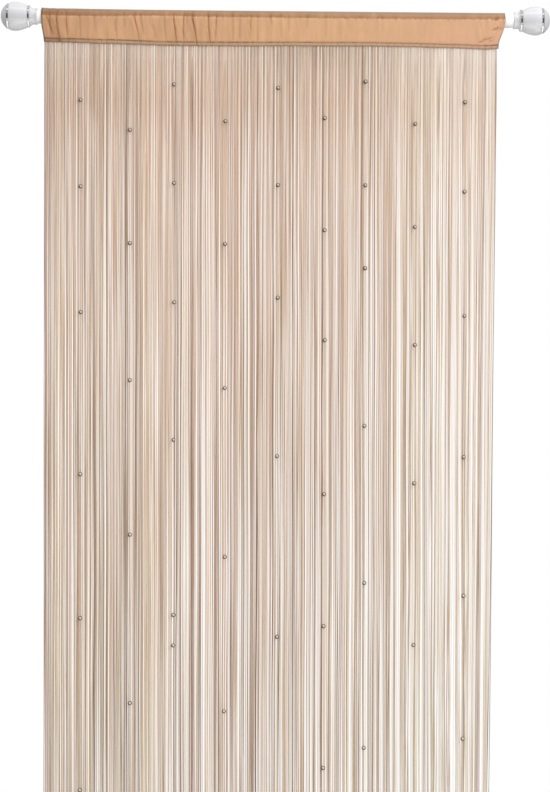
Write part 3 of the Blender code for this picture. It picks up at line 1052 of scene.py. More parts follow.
@dataclass
class Finial:
    """A bulb with its collar, a chrome ring round its neck, one under its cap, and the domed cap."""

    side: Side
    cap_ring_at: float
    neck_ring_at: float
    inner_end: float = 474.0 * MM
    socket_depth: float = 9.0 * MM
    sphere_radius: float = 29.8 * MM
    widest_at: float = 517.5 * MM
    bulb_radius: float = 28.5 * MM
    outer_edge_radius: float = 26.6 * MM
    neck_at: float = 482.5 * MM
    collar_radius: float = 15.9 * MM
    lip_radius: float = 16.7 * MM
    lip_width: float = 2.4 * MM
    taper_power: float = 1.75
    cap_ring_width: float = 3.6 * MM
    cap_ring_radius: float = 25.3 * MM
    stem_radius: float = 9.0 * MM
    stem_length: float = 18.0 * MM
    neck_ring_width: float = 3.4 * MM
    neck_ring_radius: float = 21.8 * MM
    neck_ring_thickness: float = 1.9 * MM
    spigot_length: float = 28.0 * MM
    spigot_radius: float = 12.5 * MM
    soft_edge: float = 0.6 * MM

    @property
    def word(self) -> str:
        """The side's word in the nodes' names."""
        return self.side.name.lower()

    @property
    def cap_ring_outer(self) -> float:
        """The outer face of the ring under the cap."""
        return self.cap_ring_at + self.cap_ring_width / 2

    @property
    def face(self) -> float:
        """Where the bulb ends, under the cap's ring."""
        return self.cap_ring_at - self.cap_ring_width / 2 - CLEARANCE

    def radius_at(self, along: float) -> float:
        """Radius of the bulb's outside.

        Args:
            along: the place along the rod.

        Returns:
            The radius there.
        """
        if along > self.widest_at:
            share = (along - self.widest_at) / (self.face - self.widest_at)
            return self.bulb_radius - (self.bulb_radius - self.outer_edge_radius) * share**2
        share = min((self.widest_at - along) / (self.widest_at - self.neck_at), 1.0)
        return self.bulb_radius - (self.bulb_radius - self.collar_radius) * share**self.taper_power

    def outside(self, start: float, end: float, count: int) -> Profile:
        """Points of the bulb's outside between two places along the rod."""
        return [(along, self.radius_at(along)) for along in np.linspace(start, end, count)]

    def bulb_profile(self) -> Profile:
        """Outline of the bulb: bored face, swell, ring groove, neck, collar, socket and spigot.

        Returns:
            The outline.
        """
        bore = self.stem_radius + CLEARANCE
        bore_end = self.cap_ring_outer - self.stem_length - CLEARANCE
        groove_outer = self.neck_ring_at + self.neck_ring_width / 2 + CLEARANCE
        groove_inner = self.neck_ring_at - self.neck_ring_width / 2 - CLEARANCE
        groove_radius = self.neck_ring_radius - self.neck_ring_thickness - CLEARANCE
        soft = self.soft_edge
        lip_at = self.inner_end + self.lip_width
        lip = self.lip_radius - soft
        floor = self.inner_end + self.socket_depth
        spigot_end = floor - self.spigot_length
        return [
            (bore_end, 0.0),
            (bore_end, bore),
            (self.face, bore),
            *arc((self.face - soft, self.outer_edge_radius - soft), soft, 0.0, 80.0, 4),
            *self.outside(self.face - 2 * soft, self.widest_at, 14),
            *self.outside(self.widest_at, groove_outer + soft, 26)[1:],
            (groove_outer, self.radius_at(groove_outer) - soft / 2),
            (groove_outer, groove_radius),
            (groove_inner, groove_radius),
            (groove_inner, self.radius_at(groove_inner) - soft / 2),
            *self.outside(groove_inner - soft, self.neck_at, 8),
            (lip_at + soft, self.collar_radius),
            *arc((lip_at - soft, lip), soft, 0.0, 90.0, 4),
            *arc((self.inner_end + soft, lip), soft, 90.0, 180.0, 4),
            (self.inner_end, ROD_RADIUS + CLEARANCE),
            (floor, ROD_RADIUS + CLEARANCE),
            (floor, self.spigot_radius),
            (spigot_end, self.spigot_radius),
            (spigot_end, 0.0),
        ]

    def cap_profile(self) -> Profile:
        """Outline of the domed end cap and its stem, out to the solid's tip.

        Returns:
            The outline.
        """
        corner = 1 if self.side is Side.RIGHT else 0
        tip = abs(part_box(f"finial_{self.word}_cap")[corner].x)
        seat = self.cap_ring_outer + CLEARANCE
        stem_end = self.cap_ring_outer - self.stem_length
        widest = math.degrees(math.acos(1.0 - (tip - seat) / self.sphere_radius))
        dome = arc((tip - self.sphere_radius, 0.0), self.sphere_radius, 0.0, widest - 1.5, 22)
        rim = dome[-1][1] - 0.2 * MM
        return [*dome, (seat, rim), (seat, self.stem_radius), (stem_end, self.stem_radius), (stem_end, 0.0)]

    def ring_profile(self, centre: float, width: float, outer: float, inner: float) -> Profile:
        """Outline of a band ring with rounded outer corners.

        Args:
            centre: the place of its middle along the rod.
            width: its width along the rod.
            outer: its outer radius.
            inner: its inner radius.

        Returns:
            The outline.
        """
        soft = self.soft_edge
        return [
            (centre + width / 2, inner),
            *arc((centre + width / 2 - soft, outer - soft), soft, 0.0, 90.0, 5),
            *arc((centre - width / 2 + soft, outer - soft), soft, 90.0, 180.0, 5),
            (centre - width / 2, inner),
        ]

    def build(self, finishes: Finishes) -> list[Object]:
        """Build the finial's four pieces.

        Args:
            finishes: the materials.

        Returns:
            The pieces.
        """
        neck = self.neck_ring_radius - self.neck_ring_thickness
        bore = self.stem_radius + CLEARANCE
        neck_ring = self.ring_profile(self.neck_ring_at, self.neck_ring_width, self.neck_ring_radius, neck)
        cap_ring = self.ring_profile(self.cap_ring_at, self.cap_ring_width, self.cap_ring_radius, bore)
        rows = (
            ("bulb", Slot.WHITE_GLOSS, self.bulb_profile(), finishes.bulb, False),
            ("neck_ring", Slot.CHROME, neck_ring, finishes.chrome, True),
            ("cap_ring", Slot.CHROME, cap_ring, finishes.chrome, True),
            ("cap", Slot.PEARL_CAP, self.cap_profile(), finishes.pearl, False),
        )
        made = []
        for part, slot, profile, material, closed in rows:
            piece = Piece(f"{self.word}_{part}", slot, (f"finial_{self.word}_{part}",), SHARP_EDGE)
            made.append(piece.turn(profile, self.side, material, closed))
        return made


class Knot(NamedTuple):
    """A line of the cloth from crown to hem: its place at each, its lift, and whether it is a groove."""

    top: float
    bottom: float
    lift: float
    groove: bool


@dataclass
class Section:
    """The strip's section at each column, as arrays of rows by columns, from the back hem to the front one.

    The rows hold y and z, the outward direction, the share of a column's lift, the share of the way
    down to the hem, the height above the hem's edge, and 1 at the front or 0 behind.
    """

    y: np.ndarray
    z: np.ndarray
    out_y: np.ndarray
    out_z: np.ndarray
    lift: np.ndarray
    down: np.ndarray
    above: np.ndarray
    front: np.ndarray


@dataclass
class Lay:
    """How the cloth lies, as arrays that its relief and its shades both read.

    They hold its section and places along the rod, the distances from its two ends, the swell of each
    column, the depth of the fine and the main creases, how slack the left end and how full the folds
    are, the millimetres above the crown's line, and masks for the hem and for the crown's band.
    """

    cut: Section
    x: np.ndarray
    from_left: np.ndarray
    from_right: np.ndarray
    swell: np.ndarray
    fine: np.ndarray
    valleys: np.ndarray
    left_end: np.ndarray
    full: np.ndarray
    above_line: np.ndarray
    in_hem: np.ndarray
    band: np.ndarray


@dataclass
class RodPocket:
    """The satin strip folded over the rod, with its creases, its stitched hem and its side hems."""

    thickness: float = 0.7 * MM
    column_spacing: float = 2.1 * MM
    crown_radius: float = ROD_RADIUS + 0.35 * MM
    hem_band: float = 7.5 * MM
    hem_half_gap: float = 0.9 * MM
    hem_height: float = -57.0 * MM
    edge_lift: float = 1.6 * MM
    longest_smooth_stretch: float = 42.0 * MM
    lift_between_folds: float = 0.6
    lift_on_back: float = 0.4
    lift_at_hem_top: float = 0.35
    lift_at_hem_edge: float = 0.1
    groove_power: float = 1.1
    bow: float = 0.8 * MM
    slack_end_at: float = -330.0 * MM
    slack_end_reach: float = 110.0 * MM
    slack_end_depth: float = 1.1 * MM
    pucker_height: float = 0.22 * MM
    slack_height: float = 0.55 * MM
    drawn_height: float = 0.22 * MM
    line_waver: float = 0.3 * MM
    line_depth: float = 0.15 * MM
    crown_recess: float = 0.35 * MM
    hem_rise: float = 0.35 * MM
    side_hem: float = 3.6 * MM
    side_hem_rise: float = 0.35 * MM
    side_stitch_depth: float = 0.3 * MM
    back_rows: tuple[int, int, tuple[float, ...]] = (8, 8, (0.3, 0.65, 1.0))
    front_rows: tuple[int, int, tuple[float, ...]] = (
        22,
        24,
        (0.04, 0.09, 0.15, 0.22, 0.36, 0.5, 0.64, 0.76, 0.83, 0.89, 0.95, 1.0),
    )
    seed: int = 11

    def __post_init__(self) -> None:
        """Draw the cloth's ripples, always in this order."""
        rng = np.random.default_rng(self.seed)
        self.bowing = Ripple.draw(rng, 12, 30.0, 120.0, 90.0)
        self.pucker = Ripple.draw(rng, 16, 4.5, 14.0, 30.0)
        self.slack = Ripple.draw(rng, 14, 16.0, 90.0, 60.0)
        self.drawn = Ripple.draw(rng, 16, 6.0, 26.0, 8.0)
        self.gather = Ripple.draw(rng, 14, 4.0, 19.0, 20.0)
        self.crease_shade_fade = Ripple.draw(rng, 10, 9.0, 60.0)

    def _edge(self, column: int) -> Knot:
        """The cloth's edge at one end, by its column in the table of ends."""
        top, bottom = read_table(POCKET_ENDS, np.array([0.0, self.hem_height]), column)
        return Knot(top, bottom, self.edge_lift, False)

    def columns(self) -> np.ndarray:
        """Columns of the cloth from left to right: place at the crown, place at the hem, lift.

        Returns:
            One row of three lengths for each column.
        """
        knots = [self._edge(1)]
        for top, bottom, half, lift, _ in FOLDS:
            for offset in (-half, 0.0, half):
                groove = offset == 0.0
                height = 0.0 if groove else lift * MM
                knots.append(Knot((top + offset) * MM, (bottom + offset) * MM, height, groove))
        knots.append(self._edge(2))
        rows = []
        for near, far in zip(knots, knots[1:]):
            fewest = 5 if near.groove or far.groove else 2
            steps = max(fewest, round((far.top - near.top) / self.column_spacing))
            rows += [self._between(near, far, step / steps) for step in range(steps)]
        rows.append(knots[-1][:3])
        return np.array(rows, float)

    def _between(self, near: Knot, far: Knot, share: float) -> tuple[float, float, float]:
        """One column between two knots: the cloth dips between swells and is pinched at a groove.

        Args:
            near: the knot on the left.
            far: the knot on the right.
            share: how far the column lies towards the right one.

        Returns:
            The column's place at the crown, its place at the hem and its lift.
        """
        top = near.top + (far.top - near.top) * share
        bottom = near.bottom + (far.bottom - near.bottom) * share
        if near.groove or far.groove:
            rise = share if near.groove else 1.0 - share
            return top, bottom, max(near.lift, far.lift) * math.sin(rise * math.pi / 2) ** self.groove_power
        lift = near.lift + (far.lift - near.lift) * share
        stretch = far.top - near.top
        if stretch > self.longest_smooth_stretch:
            reach = min(share, 1.0 - share) * stretch / (0.4 * self.longest_smooth_stretch)
            lift *= 1.0 - (1.0 - self.lift_between_folds) * float(smooth_step(np.array(reach)))
        return top, bottom, lift

    def _half_section(self, drop: np.ndarray, direction: int, lift: float, rows: tuple) -> list[list]:
        """One side of the section, from the crown down to the hem's edge.

        Args:
            drop: the hem's drop at each column.
            direction: 1 behind the rod and -1 in front of it.
            lift: share of a column's lift that this side takes.
            rows: number of rows round the crown, number down the face, and the hem's rows as shares.

        Returns:
            The arrays of a section for each row, in their order there.
        """
        round_crown, down_face, in_hem = rows
        hem_top = drop - self.hem_band
        from_axis = np.hypot(self.hem_half_gap, hem_top)
        turn = np.arctan2(self.hem_half_gap, hem_top) + np.arccos(self.crown_radius / from_axis)
        made = []
        for share in np.arange(1, round_crown + 1) / round_crown:
            angle = math.pi - (math.pi - turn) * share
            out = (np.sin(angle), -np.cos(angle))
            made.append((self.crown_radius * out[0], self.crown_radius * out[1], *out, share**2, 0.0))
        outward = (np.sin(turn), -np.cos(turn))
        touch = (self.crown_radius * outward[0], self.crown_radius * outward[1])
        for share in np.arange(1, down_face + 1) / down_face:
            y = touch[0] + (self.hem_half_gap - touch[0]) * share
            z = touch[1] + (-hem_top - touch[1]) * share
            made.append((y, z, *outward, 1.0 - (1.0 - self.lift_at_hem_top) * share**3, share))
        for share in in_hem:
            held = self.lift_at_hem_top + (self.lift_at_hem_edge - self.lift_at_hem_top) * share
            made.append((self.hem_half_gap, -hem_top + (-drop + hem_top) * share, 1.0, 0.0, held, 1.0))
        ones = np.ones_like(drop)
        front = 1.0 if direction < 0 else 0.0
        return [
            [direction * y * ones, z, direction * out_y * ones, out_z * ones, lift * held * ones, down * ones,
             z + drop, front * ones]
            for y, z, out_y, out_z, held, down in made
        ]

    def section(self, drop: np.ndarray) -> Section:
        """The strip's section from the back hem over the rod to the front hem.

        Args:
            drop: the hem's drop at each column.

        Returns:
            The section.
        """
        ones = np.ones_like(drop)
        none = np.zeros_like(drop)
        crown = [none, self.crown_radius * ones, none, ones, none, none, self.crown_radius + drop, 0.5 * ones]
        back = self._half_section(drop, 1, self.lift_on_back, self.back_rows)
        front = self._half_section(drop, -1, 1.0, self.front_rows)
        rows = [*back[::-1], crown, *front]
        return Section(*(np.array(values) for values in zip(*rows)))

    def _fine_creases(self, x: np.ndarray, z: np.ndarray) -> np.ndarray:
        """Depth of the short and faint creases at places on the front.

        Args:
            x: the places along the rod.
            z: their heights.

        Returns:
            The depths.
        """
        depth = np.zeros_like(x)
        for top_x, bottom_x, top_z, bottom_z, half, deep in FINE_CREASES:
            along = (top_z * MM - z) / ((top_z - bottom_z) * MM)
            line = (top_x + (bottom_x - top_x) * along) * MM
            held = smooth_step((along + 0.12) / 0.2) * smooth_step((1.12 - along) / 0.25)
            depth += deep * MM * held * bell((x - line) / (half * MM))
        return depth

    def _valleys(self, places: np.ndarray) -> np.ndarray:
        """How deep each column lies in the main creases, weighted by how much painted shade each crease
        takes, from 0 to 1.

        Args:
            places: the columns' places at the crown.

        Returns:
            The depths.
        """
        depth = np.zeros(len(places))
        for top, _, half, _, darkness in FOLDS:
            offset = (places - top * MM) / (0.72 * half * MM)
            depth += darkness * (0.56 * bell(offset) + 0.32 * bell(offset / 3.2))
        return depth

    def lay_out(self) -> Lay:
        """Lay the cloth over the rod.

        Returns:
            How it lies.
        """
        top, bottom, swell = self.columns().T
        cut = self.section(hem_drop(bottom))
        front = cut.front
        at_top = (top - top[0]) / (top[-1] - top[0])
        at_hem = (bottom - bottom[0]) / (bottom[-1] - bottom[0])
        share = at_top + (at_hem - at_top) * cut.down
        start = read_table(POCKET_ENDS, cut.z, 1)
        end = read_table(POCKET_ENDS, cut.z, 2)
        x = start + (end - start) * share
        x = x + self.bow * self.bowing.at(x, cut.z) * np.sin(math.pi * share) ** 0.3 * front
        crown_line = self.crown_radius - read_table(CROWN, x, 2) + self.line_waver * self.drawn.at(x)
        above_line = (cut.z - crown_line) / MM
        band = smooth_step((above_line + 0.5) / 2.8 + 0.5) * front
        return Lay(
            cut=cut,
            x=x,
            from_left=x - start,
            from_right=end - x,
            swell=swell,
            fine=self._fine_creases(x, cut.z) * front,
            valleys=self._valleys(top),
            left_end=smooth_step((self.slack_end_at - x) / self.slack_end_reach) * front,
            full=np.clip(cut.lift * 1.4, 0.0, 1.0),
            above_line=above_line,
            in_hem=smooth_step((self.hem_band - cut.above) / (1.0 * MM)) * front,
            band=band * (1.0 + 0.07 * self.slack.at(x)),
        )

    def relief(self, lay: Lay) -> np.ndarray:
        """How far the cloth stands out from its plain section.

        Args:
            lay: how the cloth lies.

        Returns:
            The distances, by rows and columns.
        """
        cut, x, front = lay.cut, lay.x, lay.cut.front
        near_seam = bell((cut.above - self.hem_band) / (7.0 * MM))
        near_line = bell((lay.above_line + 3.0) / 5.0)
        from_end = np.minimum(lay.from_left, lay.from_right)
        out = lay.swell * cut.lift - lay.fine
        out += read_table(CROWN, x, 1) * smooth_step(cut.z / (0.9 * self.crown_radius))
        out -= self.slack_end_depth * lay.valleys * lay.left_end * (1.0 - lay.full)
        out += self.pucker_height * self.pucker.at(x, cut.z) * near_seam * front
        out += self.slack_height * self.slack.at(x, cut.z) * np.clip(cut.lift, 0.0, 1.0) * front
        out += self.drawn_height * self.drawn.at(x, cut.z) * near_line * front
        out += self.hem_rise * lay.in_hem
        for height, half, depth in HEM_GROOVES:
            out -= depth * MM * bell((cut.above - height * MM) / (half * MM)) * front
        out -= self.crown_recess * lay.band
        out -= self.line_depth * bell(lay.above_line / 0.7) * front
        out += self.side_hem_rise * smooth_step((self.side_hem - from_end) / (0.8 * MM))
        out -= self.side_stitch_depth * bell((from_end - self.side_hem) / (0.5 * MM))
        return np.maximum(out, 0.0)

    def shades(self, lay: Lay) -> dict[str, np.ndarray]:
        """The places that the satin darkens, mostly with painted shade.

        Args:
            lay: how the cloth lies.

        Returns:
            Masks for the painted shade over the crown and at the edges, for the hem, and for the painted
            shade in the creases, the crown's lower band, the puckers, the slack left end and the hem's lines.
        """
        cut, x, front = lay.cut, lay.x, lay.cut.front
        # Painted shade over the upward-facing top of the crown's band
        crown = lay.band * (0.06 + 0.98 * smooth_step((lay.above_line - 4.2) / 6.5))
        # Painted shade at the open ends of the pocket
        edge = 0.95 * smooth_step((1.25 * self.side_hem - lay.from_left) / (2.6 * MM))
        edge += 0.7 * smooth_step((0.5 * self.side_hem - lay.from_right) / (1.0 * MM))
        gathered = 0.3 * bell((lay.above_line + 1.6) / 1.9) + 0.22 * lay.in_hem
        # Painted shade in the main creases, fading in and out along them
        valley = lay.valleys * np.maximum(lay.full * np.maximum(front, 0.3), lay.left_end)
        valley *= np.clip(0.62 + 0.52 * self.crease_shade_fade.at(cut.z + 2.3 * x), 0.08, 1.25)
        # Painted shade in the creases, over the crown's lower band, under the puckers, at the slack left end
        # and along the hem's lines
        crease = 0.6 * valley + lay.fine / (1.7 * MM) + 0.84 * lay.band * (1.0 - crown)
        crease += np.clip(self.gather.at(x, cut.z) - 0.5, 0.0, 1.0) * gathered * front
        crease += lay.left_end * (0.14 + 0.2 * lay.in_hem)
        for height, half, darkness in HEM_LINES:
            crease += darkness * bell((cut.above - height * MM) / (half * MM)) * front
        return {"crown": crown, "hem": lay.in_hem, "edge": edge, "crease": np.clip(crease, 0.0, 1.0)}

    def build(self, finishes: Finishes) -> tuple[Object, np.ndarray]:
        """Build the pocket.

        Args:
            finishes: the materials.

        Returns:
            The pocket, and its points by rows and columns.
        """
        lay = self.lay_out()
        out = self.relief(lay)
        points = np.stack([lay.x, lay.cut.y + out * lay.cut.out_y, lay.cut.z + out * lay.cut.out_z], axis=-1)
        faces = grid_faces(*lay.x.shape)[:, ::-1].tolist()
        piece = Piece("satin_pocket", Slot.SATIN, ("rod_pocket",))
        pocket = piece.make(points, faces, finishes.satin, self.shades(lay))
        cloth = pocket.modifiers.new("cloth", "SOLIDIFY")
        cloth.thickness = self.thickness
        cloth.offset = 1.0
        return pocket, points


@dataclass
class Stitching:
    """The two rows of stitches along the hem's front."""

    sewn_rows: tuple[int, int] = (4, 11)
    pitch: float = 3.0 * MM
    length: float = 2.3 * MM
    radius: float = 0.38 * MM
    sides: int = 6
    stand_off: float = 0.75 * MM
    seed: int = 5

    def build(self, cloth: np.ndarray, finishes: Finishes) -> Object:
        """Build the stitches, along two rows of the pocket's points, counted from the front hem's edge.

        Args:
            cloth: the pocket's points by rows and columns.
            finishes: the materials.

        Returns:
            The stitches, as one piece.
        """
        rng = np.random.default_rng(self.seed)
        points, tones = [], []
        for row in self.sewn_rows:
            line = cloth[-row]
            run = np.concatenate([[0.0], np.cumsum(np.linalg.norm(np.diff(line, axis=0), axis=1))])
            for middle in np.arange(self.pitch, run[-1] - self.pitch, self.pitch):
                ends = [
                    np.array([np.interp(middle + shift, run, line[:, i]) for i in range(3)])
                    for shift in (-self.length / 2, self.length / 2)
                ]
                points += self._stitch(*ends, tilt=rng.normal(0.0, 0.05))
                tones.append(rng.uniform())
        size = len(STITCH_OUTLINE) * self.sides
        starts = np.arange(len(tones))[:, None, None] * size
        quads = grid_faces(len(STITCH_OUTLINE), self.sides, closed=True) + starts
        caps = np.stack([np.arange(self.sides)[::-1], size - self.sides + np.arange(self.sides)]) + starts
        faces = quads.reshape(-1, 4).tolist() + caps.reshape(-1, self.sides).tolist()
        piece = Piece("hem_stitches", Slot.SATIN)
        return piece.make(np.array(points), faces, finishes.stitch, {"tone": np.repeat(tones, size)})

    def _stitch(self, start: np.ndarray, end: np.ndarray, tilt: float) -> list[np.ndarray]:
        """Points of one stitch.

        Args:
            start: where it leaves the cloth.
            end: where it goes back in.
            tilt: how far it slants.

        Returns:
            Its points, ring by ring.
        """
        centre = (start + end) / 2 + np.array([0.0, -self.stand_off, 0.0])
        along = (end - start) / np.linalg.norm(end - start) + np.array([0.0, 0.0, tilt])
        across = np.cross(along, [0.0, 1.0, 0.0])
        points = []
        for place, width in STITCH_OUTLINE:
            for angle in np.arange(self.sides) * FULL_TURN / self.sides:
                swell = across * math.cos(angle) + np.array([0.0, math.sin(angle), 0.0])
                points.append(centre + along * place * self.length + swell * width * self.radius)
        return points


@dataclass
class StringField:
    """The plain strings, which lean together into clusters as they fall, and the tape that holds them."""

    left: float = -458.0 * MM
    right: float = 442.0 * MM
    count: int = 1080
    radius: float = 0.56 * MM
    sides: int = 6
    levels: int = 22
    drop: float = 1985.0 * MM
    uneven_end: float = 4.0 * MM
    root_depth: float = 5.0 * MM
    crowding: float = 0.16
    group_length: float = 6.5 * MM
    group_reach: float = 0.45 * MM
    front_y: float = -0.3 * MM
    back_y: float = 3.2 * MM
    root_y: float = 0.35 * MM
    settle_drop: float = 90.0 * MM
    mean_tone: float = 0.58
    patch_tone: float = 0.17
    own_tone: float = 0.24
    dark_share: float = 0.12
    darkest_tones: float = 0.16
    edge_tone: float = 0.06
    tape_height: float = 7.6 * MM
    tape_recess: float = 0.5 * MM
    tape_half: float = 0.6 * MM
    seed: int = 23

    def __post_init__(self) -> None:
        """Draw the waves that the whole field shares."""
        self.rng = np.random.default_rng(self.seed)
        self.tight = Ripple.draw(self.rng, 18, 8.0, 24.0, 2.2)
        self.loose = Ripple.draw(self.rng, 12, 26.0, 90.0, 1.4)

    def drifted(self, place: np.ndarray, drop: np.ndarray) -> np.ndarray:
        """Sideways drift of the strings, which is smaller at the field's two edges.

        Args:
            place: their places along the rod at the hem.
            drop: how far below the axis.

        Returns:
            The drift to the right.
        """
        first, last = BEADED_STRINGS[0][0] * MM, BEADED_STRINGS[-1][0] * MM
        near_left = smooth_step((first - place) / (first - self.left))
        near_right = smooth_step((place - last) / (self.right - last))
        at_left, middle, at_right = (read_table(FIELD_DRIFT, drop, column) for column in (1, 2, 3))
        return middle + (at_left - middle) * near_left + (at_right - middle) * near_right

    def lean(self, place: np.ndarray, drop: np.ndarray) -> np.ndarray:
        """Sideways lean that gathers neighbouring strings into clusters, more towards the right.

        Args:
            place: their places along the rod at the hem.
            drop: how far below the axis.

        Returns:
            The lean to the right.
        """
        below = np.maximum(drop - 0.056, 0.0)
        across = (place - self.left) / (self.right - self.left)
        reach = MM * (0.1 + 0.55 * smooth_step(below / 0.6) + 1.15 * below)
        reach = reach * (0.3 + 1.3 * smooth_step((across - 0.45) / 0.52))
        waves = self.tight.at(place, drop) + self.loose.at(place, drop)
        return smooth_step(below / 0.06) * reach * 0.8 * waves

    def lines(self) -> np.ndarray:
        """Centre lines of the strings.

        Returns:
            Points by string, level and axis.
        """
        rng = self.rng
        width = self.right - self.left
        even = (np.arange(self.count) + 0.5) / self.count
        place = self.left + width * (even - self.crowding * even * (1.0 - even))
        place = place + rng.normal(0.0, 0.22 * width / self.count, self.count)
        place = place - self.group_reach * np.sin(FULL_TURN * (place - self.left) / self.group_length)
        place = np.clip(place, self.left + self.radius, self.right - self.radius)[:, None]
        end = self.drop + rng.uniform(-self.uneven_end, self.uneven_end, (self.count, 1))
        root = hem_drop(place)
        share = np.concatenate([[0.0, 0.02], np.linspace(0.06, 1.0, self.levels - 2)])[None, :]
        drop = root - self.root_depth + (end - root + self.root_depth) * share
        below = np.maximum(drop - root, 0.0)

        own = np.zeros_like(drop)
        for length, reach in OWN_SWAYS:
            phase = rng.uniform(0.0, FULL_TURN, (self.count, 1))
            size = rng.uniform(0.4, 1.6, (self.count, 1)) * reach * MM
            own += size * (np.sin(FULL_TURN * below / length + phase) - np.sin(phase))
        own *= smooth_step(below / 0.25)
        x = place + self.drifted(place, drop) + self.lean(place, drop) + own
        low = self.left + self.radius + self.drifted(np.array(self.left), drop)
        high = self.right - self.radius + self.drifted(np.array(self.right), drop)

        face = np.where(np.arange(self.count) % 2, self.root_y, -self.root_y)[:, None]
        depth = rng.uniform(self.front_y, self.back_y, (self.count, 1))
        y = face + (depth - face) * smooth_step(below / self.settle_drop)
        return np.stack([np.clip(x, low, high), y, -drop], axis=-1)

    def tones(self, places: np.ndarray) -> np.ndarray:
        """Draw the strings' tones: patches of paler and tanner yarn, a few dark strings, dark edges.

        Args:
            places: the strings' places along the rod.

        Returns:
            A tone from 0 to 1 for each string.
        """
        patches = Ripple.draw(self.rng, 16, 6.0, 44.0)
        tone = self.mean_tone + self.patch_tone * patches.at(places)
        tone = tone + self.rng.uniform(-self.own_tone, self.own_tone, self.count)
        dark = self.rng.uniform(0.0, 1.0, self.count) < self.dark_share
        tone = np.where(dark, self.rng.uniform(0.0, self.darkest_tones, self.count), tone)
        tone += np.interp(np.arange(self.count) / self.count, *np.transpose(TONE_ACROSS))
        tone[[0, 1, 2, -3, -2, -1]] = self.edge_tone
        return tone

    def build(self, finishes: Finishes) -> list[Object]:
        """Build the strings, in three pieces by depth, and the tape.

        Args:
            finishes: the materials.

        Returns:
            The pieces.
        """
        lines = self.lines()
        tone = self.tones(lines[:, 0, 0])
        hue = self.rng.uniform(0.0, 1.0, self.count)
        radius = self.radius * self.rng.uniform(0.85, 1.12, self.count)
        radii = np.broadcast_to(radius[:, None], (self.count, self.levels))
        layer = np.digitize(lines[:, -1, 1], np.linspace(self.front_y, self.back_y, 4)[1:3])
        each = self.levels * self.sides
        made = []
        for index, name in enumerate(("strings_in_front", "strings_between", "strings_behind")):
            chosen = layer == index
            points, faces = tubes(lines[chosen], radii[chosen], self.sides)
            values = {"tone": np.repeat(tone[chosen], each), "hue": np.repeat(hue[chosen], each)}
            made.append(Piece(name, Slot.STRING, ("strings",)).make(points, faces, finishes.yarn, values))
        return [*made, self.tape(finishes)]

    def tape(self, finishes: Finishes) -> Object:
        """Build the tape between the hem's two layers.

        Args:
            finishes: the materials.

        Returns:
            The tape.
        """
        place = np.linspace(self.left, self.right, 120)
        low = self.tape_recess - hem_drop(place)
        corners = ((-1, 0.0), (1, 0.0), (1, self.tape_height), (-1, self.tape_height))
        section = [
            np.stack([place, np.full_like(place, side * self.tape_half), low + height], axis=-1)
            for side, height in corners
        ]
        points = np.stack(section, axis=1)
        last = (len(place) - 1) * 4
        faces = grid_faces(len(place), 4, closed=True).tolist()
        faces += [[3, 2, 1, 0], [last, last + 1, last + 2, last + 3]]
        plain = np.full(len(place) * 4, 0.5)
        piece = Piece("string_tape", Slot.STRING, ("strings",), SHARP_EDGE)
        return piece.make(points, faces, finishes.yarn, {"tone": plain, "hue": plain})


@dataclass
class Bead:
    """The round bored bead that is threaded on a string."""

    radius: float = 4.2 * MM
    bore: float = 0.75 * MM
    rim_width: float = 0.35 * MM
    steps: int = 28
    rows: int = 16
    painted_shade_side: tuple[float, float, float] = (-0.75, 0.0, -0.66)
    painted_shade_ends_from: float = 3.4 * MM

    def outline(self) -> Profile:
        """Half section of the bead from its top rim to its bottom rim and back up the bore.

        Returns:
            Rows of (height, radius).
        """
        rim = math.degrees(math.asin((self.bore + self.rim_width) / self.radius))
        outer = arc((0.0, 0.0), self.radius, rim, 180.0 - rim, self.rows)
        depth = outer[0][0] - self.rim_width
        return outer + [(-depth, self.bore), (depth, self.bore)]

    def mesh(self) -> tuple[np.ndarray, np.ndarray, np.ndarray]:
        """Mesh of one bead round the origin.

        Returns:
            Its points, its faces and how much painted shade each point takes.
        """
        outline = self.outline()
        points = revolve(outline, self.steps)[..., [1, 2, 0]].reshape(-1, 3)
        faces = grid_faces(len(outline), self.steps, closed=True, looped=True)[:, ::-1]
        # Painted shade on the side turned from the light, and at the bored ends
        lean = points @ np.array(self.painted_shade_side) / self.radius
        ends = smooth_step((np.abs(points[:, 2]) - self.painted_shade_ends_from) / (0.5 * MM))
        return points, faces, np.maximum(smooth_step((lean - 0.12) / 0.4), ends)


